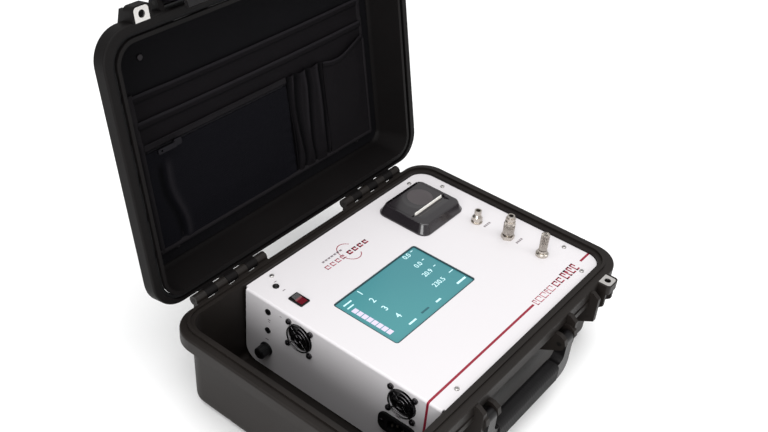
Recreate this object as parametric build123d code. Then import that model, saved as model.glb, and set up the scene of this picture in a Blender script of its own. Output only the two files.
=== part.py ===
from build123d import *
import os

os.makedirs("parts", exist_ok=True)

# A portable gas analyser built into a rugged moulded carry case, in millimetres.
# X runs along the hinge, +Y points to the hinge side, -Y to the handle, +Z up.
# The origin is the middle of the case's underside.  The lid stands open.
# Everything on the lid is laid out as if the lid were shut, then swung open.

# ---------------------------------------------------------------- carry case
inner_length = 425.0        # inside of the case at the rim, left to right
inner_depth = 284.0         # inside of the case at the rim, front to back
base_inner_height = 109.0
lid_inner_height = 52.0
wall = 4.5
floor_thickness = 5.0
inner_corner = 22.0         # corner radius of the inside at the rim
draft = 3.0                 # how much each wall leans in over its height
lid_draft = 9.0             # the lid's walls lean in more
rim_side = 18.5             # rim width beyond the inside, left and right
rim_front = 18.0
rim_back = 13.0
rim_height = 16.0
rim_skin = 4.0              # moulded thickness of the rim channel
rim_corner = 35.0
rim_edge_radius = 2.5
edge_radius = 12.0          # rounding between walls and floor
lid_edge_radius = 18.0      # rounding between walls and roof
web_thickness = 2.5         # webs that brace the rim channel
web_pitch_x = 46.0
web_pitch_y = 44.0
parting_gap = 0.4           # between the shut rims
tongue_inset = 5.0          # from the inside face to the sealing tongue
tongue_width = 3.5
tongue_height = 3.0
open_angle = 101.0          # how far the lid has swung back

# ---------------------------------------------------------------- hinges
hinge_setback = 6.8         # hinge axis behind the rim's back edge
knuckle_radius = 6.0
knuckle_width = 16.0
knuckle_gap = 0.4
knuckles = 7                # per hinge; odd ones belong to the base
hinge_inset = 84.0          # middle of each hinge from the case's inside end
hinge_pin_radius = 2.0
running_clearance = 0.08

# ---------------------------------------------------------------- latches, handle, padlock lugs
latch_width = 44.0
latch_to_handle = 12.0      # between a latch and the handle's arm
latch_pin_radius = 2.5
latch_barrel_radius = 6.0
latch_setoff = 7.2          # latch pin in front of the rim
latch_thickness = 5.0
latch_rest_angle = 16.0     # the latches hang this far off their shut place
catch_drop = 8.0            # catch ledge below the rim
handle_half = 88.0          # half of the handle's outer width
handle_pin_radius = 3.0
handle_arm = 15.0
handle_drop = 52.0          # from pivot to the bottom of the grip
handle_thickness = 18.0
grip_height = 26.0
grip_half = 62.0
grip_skin = 2.5
padlock_to_latch = 20.5
padlock_lug_width = 24.0
padlock_plate_width = 18.0
padlock_plate_length = 15.0
lug_height = 12.0
padlock_hole_radius = 4.0
padlock_reach = 15.0        # lug beyond the rim's front
plate_thickness = 2.0

# ---------------------------------------------------------------- instrument
storage_width = 86.5        # open compartment left of the instrument
panel_drop = 4.0            # panel face below the rim
panel_clearance = 0.8
panel_thickness = 2.0
fold_radius = 3.0
side_corner = 18.0
tray_thickness = 1.5
tray_lift = 2.0             # under the tray
tray_flange = 12.0
display_width = 152.6
display_height = 93.3
display_from_left = 122.7   # display's middle from the panel's left edge
display_y = 1.2
display_border = 1.4
glass_margin = 4.0
paper_width = 57.5
printer_cheek = 15.25       # printer housing beyond the paper, each side
printer_from_right = 30.7
printer_from_back = 18.2
printer_depth = 78.0
printer_rise = 13.5
paper_radius = 20.0
slot_width = 2.4
scoop_reach = 11.0          # shallow scoop in front of the paper slot
scoop_corner = 5.0
dish_radius = 150.0         # sphere that hollows the printer door
dish_depth = 1.2
dish_behind_slot = 17.0
switch_from_left = 27.0
switch_from_back = 60.2
switch_width = 14.0
switch_length = 20.0
lamp_from_left = 26.0
lamp_from_back = 25.2
port_from_right = 43.2
port_shares = (0.1423, 0.3947, 0.6660)  # along the gap between printer and front edge
port_stem_radius = 5.0
port_bore_radius = 1.6
line_radius = 3.0           # the sample line pushed into a fitting
fan_size = 40.0
fan_thickness = 10.0
fan_hole_inset = 4.0        # screw holes from the fan's edges
fan_from_top = 4.0          # fan's edge below the panel face
fan_rear_from_back = 86.2
fan_front_from_front = 51.2
inlet_beside_fan = 2.0      # inlet's middle from the front fan's
inlet_under_fan = 19.0      # inlet's middle below the front fan's edge
fuse_from_back = 36.2
fuse_drop = 72.0
socket_from_back = 38.2
socket_drops = (14.0, 42.0)
screw_radius = 1.5
screw_hole = 1.6

# ---------------------------------------------------------------- lid organiser
board_standoff = 5.0
board_thickness = 3.0
board_margin = 12.0
pocket_left_inset = 31.0
pocket_right_inset = 29.0
pocket_bottom_inset = 30.0
card_pocket_width = 79.5
pen_pockets_width = 66.0
pocket_top_insets = (70.0, 99.0, 125.0)  # rear, front and low pockets

# ---------------------------------------------------------------- worked-out places
half_length = inner_length / 2
half_depth = inner_depth / 2
rim_z = floor_thickness + base_inner_height
lid_z = rim_z + parting_gap
lid_roof_z = lid_z + lid_inner_height
rim_x = half_length + rim_side
rim_front_y = -(half_depth + rim_front)
rim_back_y = half_depth + rim_back
rim_under_z = rim_z - rim_height
hinge_y = rim_back_y + hinge_setback
hinge_z = rim_z + parting_gap / 2
hinge_axis = Axis((0, hinge_y, hinge_z), (1, 0, 0))
hinge_middle = half_length - hinge_inset
panel_z = rim_z - panel_drop
panel_left = -half_length + storage_width
panel_right = half_length - panel_clearance
panel_half_depth = half_depth - panel_clearance
panel_under_z = panel_z - panel_thickness
side_inner_x = panel_left + panel_thickness
tray_z = floor_thickness + tray_lift
display_x = panel_left + display_from_left
printer_width = paper_width + 2 * printer_cheek
printer_x = panel_right - printer_from_right - printer_width / 2
printer_y = panel_half_depth - printer_from_back - printer_depth / 2
switch_x = panel_left + switch_from_left
switch_y = panel_half_depth - switch_from_back
lamp_x = panel_left + lamp_from_left
lamp_y = panel_half_depth - lamp_from_back
port_x = panel_right - port_from_right
printer_front_y = printer_y - printer_depth / 2
port_gap = printer_front_y + panel_half_depth
sample_y, outlet_y, valve_y = [printer_front_y - share * port_gap for share in port_shares]
fan_pitch = fan_size - 2 * fan_hole_inset
fan_drop = fan_size / 2 + fan_from_top
fan_rear_y = panel_half_depth - fan_rear_from_back
fan_front_y = -panel_half_depth + fan_front_from_front
inlet_y = fan_front_y + inlet_beside_fan
inlet_drop = fan_drop + fan_size / 2 + inlet_under_fan
fuse_y = panel_half_depth - fuse_from_back
socket_y = panel_half_depth - socket_from_back
latch_middle = handle_half + latch_to_handle + latch_width / 2
padlock_middle = latch_middle + latch_width / 2 + padlock_to_latch + padlock_lug_width / 2
latch_pin_y = rim_front_y - latch_setoff
latch_pin_z = lid_z + 12.6
handle_y = rim_front_y - 8.0
handle_z = rim_under_z - 10.0


# ---------------------------------------------------------------- small helpers
def block(x_span, y_span, z_span):
    # A plain box between limits along each axis.
    spans = (x_span, y_span, z_span)
    sizes = [high - low for low, high in spans]
    middle = [(high + low) / 2 for low, high in spans]
    return Pos(*middle) * Box(*sizes)


def around(middle, width):
    return (middle - width / 2, middle + width / 2)


def rod_x(x_span, y, z, radius):
    length = x_span[1] - x_span[0]
    return Pos(sum(x_span) / 2, y, z) * Rot(0, 90, 0) * Cylinder(radius, length)


def rod_z(x, y, z_span, radius):
    return Pos(x, y, sum(z_span) / 2) * Cylinder(radius, z_span[1] - z_span[0])


def hex_z(x, y, z_span, across_flats):
    outline = RegularPolygon(across_flats / 2, 6, major_radius=False)
    return Pos(x, y, z_span[0]) * extrude(outline, z_span[1] - z_span[0])


def rounded_sheet(x_span, y_span, z, corner):
    width, depth = x_span[1] - x_span[0], y_span[1] - y_span[0]
    return Pos(sum(x_span) / 2, sum(y_span) / 2, z) * RectangleRounded(width, depth, corner)


def rounded_block(x_span, y_span, z_span, corner):
    # A box with its four upright edges rounded.
    return extrude(rounded_sheet(x_span, y_span, z_span[0], corner), z_span[1] - z_span[0])


def rounded_plate_yz(x_span, y_span, z_span, corner):
    # A plate across X with its four edges along X rounded.
    plate = block(x_span, y_span, z_span)
    return fillet(plate.edges().filter_by(Axis.X), corner)


def profile_x(x_span, points):
    # A solid whose outline in Y and Z is the same all along X.
    face = make_face(Polyline(*[(0, y, z) for y, z in points], close=True))
    return Pos(x_span[0], 0, 0) * extrude(face, x_span[1] - x_span[0], dir=(1, 0, 0))


def both_sides(shape):
    return [shape, mirror(shape, about=Plane.YZ)]


def export(shape, name):
    solids = shape if isinstance(shape, list) else [shape]
    flat = [solid for item in solids for solid in item.solids()]
    export_step(flat[0] if len(flat) == 1 else Compound(flat), f"parts/{name}.step")


def swing_open(shape):
    # Turns what is laid out on the shut lid to where the open lid holds it.
    if isinstance(shape, list):
        return [swing_open(item) for item in shape]
    return shape.rotate(hinge_axis, -open_angle)


def case_section(grow, z):
    x_span = around(0, inner_length + 2 * grow)
    y_span = around(0, inner_depth + 2 * grow)
    return rounded_sheet(x_span, y_span, z, inner_corner + grow)


def rim_ring(z_span, inset):
    x_span = (-rim_x + inset, rim_x - inset)
    y_span = (rim_front_y + inset, rim_back_y - inset)
    return rounded_block(x_span, y_span, z_span, rim_corner - inset)


def sealing_ring(inset, width, z_span):
    # A closed band running round the rim, measured from the inside face.
    near = extrude(case_section(inset, z_span[0]), z_span[1] - z_span[0])
    far = extrude(case_section(inset + width, z_span[0]), z_span[1] - z_span[0])
    return far - near


def rim_webs(z_span):
    # Webs that brace the rim channel all round.
    webs = []
    for x in [n * web_pitch_x for n in range(-4, 5)]:
        for y_span in ((rim_front_y + 2, -half_depth), (half_depth, rim_back_y - 2)):
            webs.append(block(around(x, web_thickness), y_span, z_span))
    for y in [n * web_pitch_y for n in range(-2, 3)]:
        for side in (-1, 1):
            x_span = sorted((side * half_length, side * (rim_x - 2)))
            webs.append(block(x_span, around(y, web_thickness), z_span))
    return webs


def knuckle_spans():
    # Every knuckle's reach along X on the right-hand hinge, with its owner.
    first = hinge_middle - knuckles * knuckle_width / 2
    for number in range(knuckles):
        start = first + number * knuckle_width
        owner = "base" if number % 2 == 0 else "lid"
        yield owner, (start + knuckle_gap / 2, start + knuckle_width - knuckle_gap / 2)


# ---------------------------------------------------------------- case base
def make_base_shell():
    slope = draft / base_inner_height
    outer = loft([case_section(wall - draft, 0), case_section(wall, rim_z)], ruled=True)
    outer = fillet(outer.edges().group_by(Axis.Z)[0], edge_radius)
    rim = rim_ring((rim_under_z, rim_z), 0)
    rim = fillet(rim.edges().group_by(Axis.Z)[-1], rim_edge_radius)
    rim -= rim_ring((rim_under_z - 1, rim_z - rim_skin), rim_skin)
    shell = outer + rim
    for web in rim_webs((rim_under_z + 1, rim_z - 1)):
        shell += web
    for lug in both_sides(make_base_front_lugs()):
        shell += lug
    for owner, x_span in knuckle_spans():
        if owner == "base":
            knuckle = rod_x(x_span, hinge_y, hinge_z, knuckle_radius)
            web_z = (hinge_z - knuckle_radius - 4, hinge_z - 0.6)
            knuckle += block(x_span, (rim_back_y - 3, hinge_y), web_z)
            for part in both_sides(knuckle):
                shell += part
    # Feet down the back wall, to stand the shut case on.
    for x in (60.0, 185.0):
        foot = block(around(x, 10), (half_depth - 2, half_depth + wall + 5), (14, rim_under_z))
        for part in both_sides(foot):
            shell += part
    cavity = loft(
        [case_section(-draft, floor_thickness), case_section(slope * 2, rim_z + 2)], ruled=True
    )
    cavity = fillet(cavity.edges().group_by(Axis.Z)[0], edge_radius - wall)
    shell -= cavity
    tongue_z = (rim_z - 0.5, rim_z + tongue_height)
    shell += sealing_ring(tongue_inset, tongue_width, tongue_z)
    for owner, x_span in knuckle_spans():
        if owner == "lid":
            relief_x = (x_span[0] - 0.2, x_span[1] + 0.2)
            relief = rod_x(relief_x, hinge_y, hinge_z, knuckle_radius + 0.6)
            for part in both_sides(relief):
                shell -= part
    pin = rod_x(hinge_pin_span(), hinge_y, hinge_z, hinge_pin_radius)
    for part in both_sides(pin):
        shell -= part
    hole_z = (rim_under_z - 60, rim_z + 10)
    hole = rod_z(padlock_middle, padlock_hole_y(), hole_z, padlock_hole_radius)
    for part in both_sides(hole):
        shell -= part
    for part in both_sides(make_padlock_plate(rim_z - plate_thickness, rim_z, False)):
        shell -= part
    for part in both_sides(make_handle_pin()):
        shell -= part
    shell -= make_pressure_valve()
    return shell


def hinge_pin_span():
    reach = knuckles * knuckle_width / 2
    return (hinge_middle - reach, hinge_middle + reach)


def padlock_hole_y():
    return rim_front_y - padlock_reach + padlock_hole_radius + 5.0


def make_base_front_lugs():
    # Everything that stands off the right half of the front wall.
    front_y = rim_front_y - padlock_reach
    wall_y = -half_depth - 2.0
    lug_x = around(padlock_middle, padlock_lug_width)
    lug = block(lug_x, (front_y, wall_y), (rim_z - lug_height, rim_z))
    lug = fillet(lug.edges().filter_by(Axis.Z).group_by(Axis.Y)[0], 5)
    rib_points = [
        (wall_y, rim_z - 11), (front_y + 3, rim_z - 11),
        (front_y + 3, rim_under_z - 14), (wall_y, rim_under_z - 38),
    ]
    for x in (lug_x[0], lug_x[1] - 4):
        lug += profile_x((x, x + 4), rib_points)
    # Ribs that guard the latch, with the catch ledge between them.
    guard_gap = latch_width / 2 + 2.0
    guard_points = [
        (wall_y, rim_z - 3), (rim_front_y - 4, rim_z - 3), (rim_front_y - 12, rim_z - 9),
        (rim_front_y - 12, rim_under_z - 26), (wall_y, rim_under_z - 42),
    ]
    for x in (latch_middle - guard_gap - 6, latch_middle + guard_gap):
        lug += profile_x((x, x + 6), guard_points)
    ledge_x = (latch_middle - guard_gap - 1, latch_middle + guard_gap + 1)
    ledge_points = [
        (wall_y, rim_z - 2), (rim_front_y + 2, rim_z - 2), (rim_front_y + 2, rim_under_z),
        (rim_front_y - 1.5, rim_under_z), (rim_front_y - 1.5, rim_under_z - catch_drop),
        (wall_y, rim_under_z - catch_drop),
    ]
    lug += profile_x(ledge_x, ledge_points)
    # Ears that carry the handle's pin.
    ear_points = [
        (wall_y, rim_under_z + 2), (handle_y + 1, rim_under_z + 2), (handle_y - 6, rim_under_z - 2),
        (handle_y - 8, handle_z), (handle_y - 5, handle_z - 7), (wall_y, handle_z - 24),
    ]
    inner_ear = handle_half - handle_arm - 0.5
    for x_span in ((inner_ear - 6, inner_ear), (handle_half + 0.5, handle_half + 6.5)):
        lug += profile_x(x_span, ear_points)
    return lug


def make_padlock_plate(low_z, high_z, pierced):
    plate_x = around(padlock_middle, padlock_plate_width)
    front_y = rim_front_y - padlock_reach + 1.5
    plate = block(plate_x, (front_y, front_y + padlock_plate_length), (low_z, high_z))
    plate = fillet(plate.edges().filter_by(Axis.Z).group_by(Axis.Y)[0], 4)
    if pierced:
        hole_z = (low_z - 1, high_z + 1)
        plate -= rod_z(padlock_middle, padlock_hole_y(), hole_z, padlock_hole_radius)
    return plate


def make_handle_pin():
    pin_x = (handle_half - handle_arm - 6.5, handle_half + 6.5)
    return rod_x(pin_x, handle_y, handle_z, handle_pin_radius)


def make_pressure_valve():
    # A round vent that equals the pressure inside, screwed through the front wall.
    z = handle_z - 8
    outer_y = -half_depth - wall - 3
    turned = Pos(0, 0, z) * Rot(90, 0, 0)
    head = Pos(0, outer_y + 2, 0) * turned * Cylinder(9, 4)
    stem = Pos(0, -half_depth - 1, 0) * turned * Cylinder(5, 8.5)
    slot = block((-6, 6), (outer_y - 1, outer_y + 1.4), (z - 0.9, z + 0.9))
    return head + stem - slot


# ---------------------------------------------------------------- lid, laid out shut
def make_lid_shell():
    rim_top_z = lid_z + rim_height
    roof_top_z = lid_roof_z + wall
    slope = lid_draft / lid_inner_height
    roof_section = case_section(wall - lid_draft, roof_top_z)
    outer = loft([case_section(wall, lid_z), roof_section], ruled=True)
    outer = fillet(outer.edges().group_by(Axis.Z)[-1], lid_edge_radius)
    rim = rim_ring((lid_z, rim_top_z), 0)
    rim = fillet(rim.edges().group_by(Axis.Z)[0], rim_edge_radius)
    rim -= rim_ring((lid_z + rim_skin, rim_top_z + 1), rim_skin)
    shell = outer + rim
    for web in rim_webs((lid_z + 1, rim_top_z - 1)):
        shell += web
    for lug in both_sides(make_lid_front_lugs()):
        shell += lug
    # Raised bands across the roof.
    for x in (-150.0, -90.0, -30.0, 30.0, 90.0, 150.0):
        band_y = (-half_depth + 24, half_depth - 24)
        shell += rounded_block(around(x, 30), band_y, (roof_top_z - 1, roof_top_z + 3), 8)
    for owner, x_span in knuckle_spans():
        if owner == "lid":
            knuckle = rod_x(x_span, hinge_y, hinge_z, knuckle_radius)
            web_z = (hinge_z + 0.6, hinge_z + knuckle_radius + 4)
            knuckle += block(x_span, (rim_back_y - 3, hinge_y), web_z)
            for part in both_sides(knuckle):
                shell += part
    cavity = loft(
        [case_section(slope * 2, lid_z - 2), case_section(-lid_draft, lid_roof_z)], ruled=True
    )
    cavity = fillet(cavity.edges().group_by(Axis.Z)[-1], lid_edge_radius - wall)
    shell -= cavity
    groove_z = (lid_z - 1, lid_z + tongue_height + 5.0)
    shell -= sealing_ring(tongue_inset - 0.8, tongue_width + 1.6, groove_z)
    for x, y in organiser_screw_places():
        shell += rod_z(x, y, (lid_roof_z - board_standoff, lid_roof_z + 1), 5)
    for owner, x_span in knuckle_spans():
        relief_x = (x_span[0] - 0.2, x_span[1] + 0.2)
        if owner == "base":
            relief = rod_x(relief_x, hinge_y, hinge_z, knuckle_radius + 0.6)
            for part in both_sides(relief):
                shell -= part
    bore = rod_x(hinge_pin_span(), hinge_y, hinge_z, hinge_pin_radius + running_clearance)
    for part in both_sides(bore):
        shell -= part
    hole_z = (lid_z - 5, lid_z + 60)
    hole = rod_z(padlock_middle, padlock_hole_y(), hole_z, padlock_hole_radius)
    for part in both_sides(hole):
        shell -= part
    for part in both_sides(make_padlock_plate(lid_z, lid_z + plate_thickness, False)):
        shell -= part
    for part in both_sides(make_latch_pin()):
        shell -= part
    for part in make_organiser_screws():
        shell -= part
    return shell


def make_lid_front_lugs():
    front_y = rim_front_y - padlock_reach
    wall_y = -half_depth + 2.0
    lug_x = around(padlock_middle, padlock_lug_width)
    lug = block(lug_x, (front_y, wall_y), (lid_z, lid_z + lug_height))
    lug = fillet(lug.edges().filter_by(Axis.Z).group_by(Axis.Y)[0], 5)
    rib_points = [
        (wall_y, lid_z + 11), (front_y + 3, lid_z + 11),
        (front_y + 3, lid_z + rim_height + 2), (wall_y, lid_z + rim_height + 16),
    ]
    for x in (lug_x[0], lug_x[1] - 4):
        lug += profile_x((x, x + 4), rib_points)
    # Cheeks that hold the latch pin.
    cheek_gap = latch_width / 2 + 1.0
    cheek_points = [
        (wall_y, lid_z + 3), (rim_front_y + 1, lid_z + 3), (latch_pin_y - 6, latch_pin_z - 5),
        (latch_pin_y - 6, latch_pin_z + 5), (wall_y, latch_pin_z + 20),
    ]
    for x in (latch_middle - cheek_gap - 6, latch_middle + cheek_gap):
        lug += profile_x((x, x + 6), cheek_points)
    return lug


def make_latch_pin():
    reach = latch_width / 2 + 7.0
    pin_x = (latch_middle - reach, latch_middle + reach)
    return rod_x(pin_x, latch_pin_y, latch_pin_z, latch_pin_radius)


def lever_pivot():
    return latch_pin_y - 5.0, latch_pin_z - 15.0


def make_latch_frame():
    # The hook that reaches under the catch ledge, laid out shut.
    x_span = around(latch_middle, latch_width)
    ledge_under_z = rim_under_z - catch_drop
    lip_top_z = ledge_under_z - 0.8
    outer_y = latch_pin_y - 2.3
    frame = rod_x(x_span, latch_pin_y, latch_pin_z, latch_barrel_radius)
    frame += block(x_span, (outer_y, outer_y + latch_thickness), (lip_top_z - 5, latch_pin_z))
    lip = block(x_span, (outer_y, rim_front_y + 5.5), (lip_top_z - 5, lip_top_z))
    frame += fillet(lip.edges().filter_by(Axis.X).group_by(Axis.Z)[0], 1.5)
    pivot_y, pivot_z = lever_pivot()
    cheek_points = [
        (outer_y + 1, pivot_z + 8), (pivot_y, pivot_z + 5), (pivot_y - 3, pivot_z),
        (pivot_y - 3, pivot_z - 10), (outer_y + 1, pivot_z - 22),
    ]
    for x in (x_span[0], x_span[1] - 4):
        frame += profile_x((x, x + 4), cheek_points)
    frame -= rod_x(x_span, latch_pin_y, latch_pin_z, latch_pin_radius + running_clearance)
    pivot_radius = 1.8 + running_clearance
    frame -= rod_x(x_span, pivot_y, pivot_z, pivot_radius)
    return frame


def make_latch_lever():
    # The thumb lever that the latch is pulled by, on two trunnions.
    pivot_y, pivot_z = lever_pivot()
    half = latch_width / 2 - 4.5
    x_span = (latch_middle - half, latch_middle + half)
    bottom_z = rim_under_z - catch_drop - 9
    lever = rod_x(x_span, pivot_y, pivot_z, 2.2)
    lever_points = [
        (pivot_y + 2.0, pivot_z), (pivot_y - 2.2, pivot_z), (pivot_y - 4.0, pivot_z - 14),
        (pivot_y - 6.5, bottom_z), (pivot_y - 3.0, bottom_z), (pivot_y + 1.0, pivot_z - 12),
    ]
    lever += profile_x(x_span, lever_points)
    for step in range(4):
        rib_z = pivot_z - 15 - step * 3.4
        lever += rod_x((x_span[0] + 3, x_span[1] - 3), pivot_y - 4.3 - step * 0.5, rib_z, 0.9)
    trunnion_x = (x_span[0] - 4, x_span[1] + 4)
    lever += rod_x(trunnion_x, pivot_y, pivot_z, 1.8)
    return lever


def latch_at_rest(shape):
    latch_axis = Axis((0, latch_pin_y, latch_pin_z), (1, 0, 0))
    return shape.rotate(latch_axis, -latch_rest_angle)


# ---------------------------------------------------------------- handle, hanging down
def make_handle_frame():
    outer_y = handle_y - handle_thickness / 2
    inner_y = handle_y + handle_thickness / 2
    bottom_z = handle_z - handle_drop
    body = block((-handle_half, handle_half), (outer_y + 2, inner_y - 2), (bottom_z, handle_z))
    hole_half = handle_half - handle_arm
    body -= block((-hole_half, hole_half), (outer_y, inner_y), (bottom_z + grip_height, handle_z + 1))
    inner_corners = body.edges().filter_by(Axis.Y).group_by(Axis.Z)[1]
    body = fillet(inner_corners, 9)
    outer_corners = body.edges().filter_by(Axis.Y).group_by(Axis.Z)[0]
    body = fillet(outer_corners, 18)
    for side in (-1, 1):
        arm_x = sorted((side * hole_half, side * handle_half))
        body += rod_x(arm_x, handle_y, handle_z, handle_thickness / 2 - 2)
    core_y = (outer_y + 2 + grip_skin, inner_y - 2 - grip_skin)
    core_z = (bottom_z + grip_skin, bottom_z + grip_height - grip_skin)
    grip_x = (-grip_half, grip_half)
    body -= block(grip_x, (outer_y, inner_y), (bottom_z - 1, bottom_z + grip_height + 1))
    body += block((-grip_half - 1, grip_half + 1), core_y, core_z)
    bore = handle_pin_radius + running_clearance
    body -= rod_x((-handle_half - 1, handle_half + 1), handle_y, handle_z, bore)
    return body


def make_handle_grip():
    outer_y = handle_y - handle_thickness / 2
    inner_y = handle_y + handle_thickness / 2
    bottom_z = handle_z - handle_drop
    grip_z = (bottom_z - 1, bottom_z + grip_height + 1)
    grip = block((-grip_half, grip_half), (outer_y, inner_y), grip_z)
    grip = fillet(grip.edges().filter_by(Axis.X), 6)
    core_y = (outer_y + 2 + grip_skin, inner_y - 2 - grip_skin)
    core_z = (bottom_z + grip_skin, bottom_z + grip_height - grip_skin)
    return grip - block((-grip_half - 1, grip_half + 1), core_y, core_z)


# ---------------------------------------------------------------- front panel and tray
def panel_screw_places():
    edge_y = half_depth - 10.0
    right_x = half_length - 11.5
    return [
        (panel_left + 36, edge_y), (panel_right - 37, edge_y), (right_x, edge_y - 36),
        (right_x, -edge_y + 40), (panel_right - 37, -edge_y), (panel_left + 36, -edge_y),
    ]


def make_front_panel():
    flat_left = panel_left + fold_radius + 1.0
    top = block(
        (flat_left, panel_right), (-panel_half_depth, panel_half_depth), (panel_under_z, panel_z)
    )
    right_corners = top.edges().filter_by(Axis.Z).group_by(Axis.X)[-1]
    top = fillet(right_corners, inner_corner - panel_clearance)
    side_half = half_depth - draft - panel_clearance
    folded = block((panel_left, flat_left + 5), (-side_half, side_half), (tray_z, panel_z))
    folded -= block(
        (side_inner_x, flat_left + 6), (-half_depth, half_depth), (tray_z - 1, panel_under_z)
    )
    left_edges = folded.edges().filter_by(Axis.Y).group_by(Axis.X)[0]
    folded = fillet(left_edges.sort_by(Axis.Z)[-1], fold_radius)
    lower_corners = folded.edges().filter_by(Axis.X).group_by(Axis.Z)[0]
    folded = fillet(lower_corners, side_corner)
    panel = top + folded
    through_z = (panel_under_z - 5, panel_z + 5)
    panel -= rounded_block(
        around(display_x, display_width), around(display_y, display_height), through_z, 4
    )
    panel -= block(
        around(printer_x, printer_width - 12), around(printer_y, printer_depth - 12), through_z
    )
    panel -= block(
        around(switch_x, switch_width - 1), around(switch_y, switch_length - 1), through_z
    )
    panel -= rod_z(lamp_x, lamp_y, through_z, 2.6)
    for y in (sample_y, outlet_y, valve_y):
        panel -= rod_z(port_x, y, through_z, port_stem_radius + 0.1)
    for x, y in panel_screw_places():
        panel -= rod_z(x, y, through_z, screw_radius + 0.2)
    through_x = (panel_left - 5, side_inner_x + 5)
    for y in (fan_rear_y, fan_front_y):
        panel -= rod_x(through_x, y, panel_z - fan_drop, fan_size / 2 - 1.5)
        for dy, dz in fan_corners():
            panel -= rod_x(through_x, y + dy, panel_z - fan_drop + dz, screw_hole)
    panel -= block(through_x, around(inlet_y, 28.4), around(panel_z - inlet_drop, 22.4))
    for side_y in (-20, 20):
        panel -= rod_x(through_x, inlet_y + side_y, panel_z - inlet_drop, screw_hole)
    panel -= rod_x(through_x, fuse_y, panel_z - fuse_drop, 6.3)
    for drop in socket_drops:
        panel -= rod_x(through_x, socket_y, panel_z - drop, 2.9)
    return panel


def fan_corners():
    half = fan_pitch / 2
    return [(dy, dz) for dy in (-half, half) for dz in (-half, half)]


def make_panel_screws():
    screws = []
    for x, y in panel_screw_places():
        head = rod_z(x, y, (panel_z, panel_z + 1.7), 2.8)
        head = fillet(head.edges().group_by(Axis.Z)[-1], 1.0)
        head -= hex_z(x, y, (panel_z + 0.6, panel_z + 3), 2.0)
        screws.append(head + rod_z(x, y, (panel_z - 8, panel_z), screw_radius))
    return screws


def make_chassis_tray():
    x_span = (side_inner_x + 0.4, half_length - 6.0)
    half = half_depth - 5.5
    outer = block(x_span, (-half, half), (tray_z, panel_under_z))
    outer = fillet(outer.edges().filter_by(Axis.Z).group_by(Axis.X)[-1], inner_corner - 4)
    outer = fillet(outer.edges().group_by(Axis.Z)[0], 6)
    inner_x = (x_span[0] - 10, x_span[1] - tray_thickness)
    inner_half = half - tray_thickness
    inner = block(inner_x, (-inner_half, inner_half), (tray_z + tray_thickness, panel_under_z - 1.6))
    inner = fillet(
        inner.edges().filter_by(Axis.Z).group_by(Axis.X)[-1], inner_corner - 4 - tray_thickness
    )
    inner = fillet(inner.edges().group_by(Axis.Z)[0], 6 - tray_thickness)
    window_half = half - tray_flange
    window = block(
        (x_span[0] - 1, x_span[1] - tray_flange), (-window_half, window_half),
        (panel_under_z - 4, panel_under_z + 1),
    )
    tray = outer - inner - window
    for x, y in panel_screw_places():
        tray -= rod_z(x, y, (panel_under_z - 5, panel_under_z + 1), screw_radius)
    return tray


# ---------------------------------------------------------------- display
def make_display_frame():
    outer = rounded_block(
        around(display_x, display_width - 0.2), around(display_y, display_height - 0.2),
        (panel_under_z, panel_z - 0.4), 3.9,
    )
    inner = rounded_block(
        around(display_x, display_width - 2 * display_border),
        around(display_y, display_height - 2 * display_border),
        (panel_under_z - 1, panel_z + 1), 2.5,
    )
    return outer - inner


def make_display_glass():
    return rounded_block(
        around(display_x, display_width + 2 * glass_margin),
        around(display_y, display_height + 2 * glass_margin),
        (panel_under_z - 1.8, panel_under_z), 3,
    )


def make_display_module():
    top_z = panel_under_z - 1.8
    module = block(
        around(display_x, display_width + 12), around(display_y, display_height + 12),
        (top_z - 8, top_z),
    )
    board = block(around(display_x, 120), around(display_y, 70), (top_z - 14, top_z - 8))
    return module + board


# ---------------------------------------------------------------- printer
door_back_y = printer_y + printer_depth / 2 - 9.0
door_top_z = panel_z + printer_rise
door_pivot_z = door_top_z - 3.0
slot_back_y = printer_y - 9.0
slot_front_y = slot_back_y - slot_width
platen_half = paper_width / 2 + 0.75
cheek_half = paper_width / 2 + 2.25     # inner face of the cheeks that hold the platen
cheek_width = 2.2
door_half = cheek_half + cheek_width + 0.7
roll_y = printer_y + 11.5
roll_z = panel_z - 24.0
platen_y = slot_back_y + 5.6
platen_z = door_top_z - 9.5
door_axis_y = door_back_y - 1.0


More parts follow.
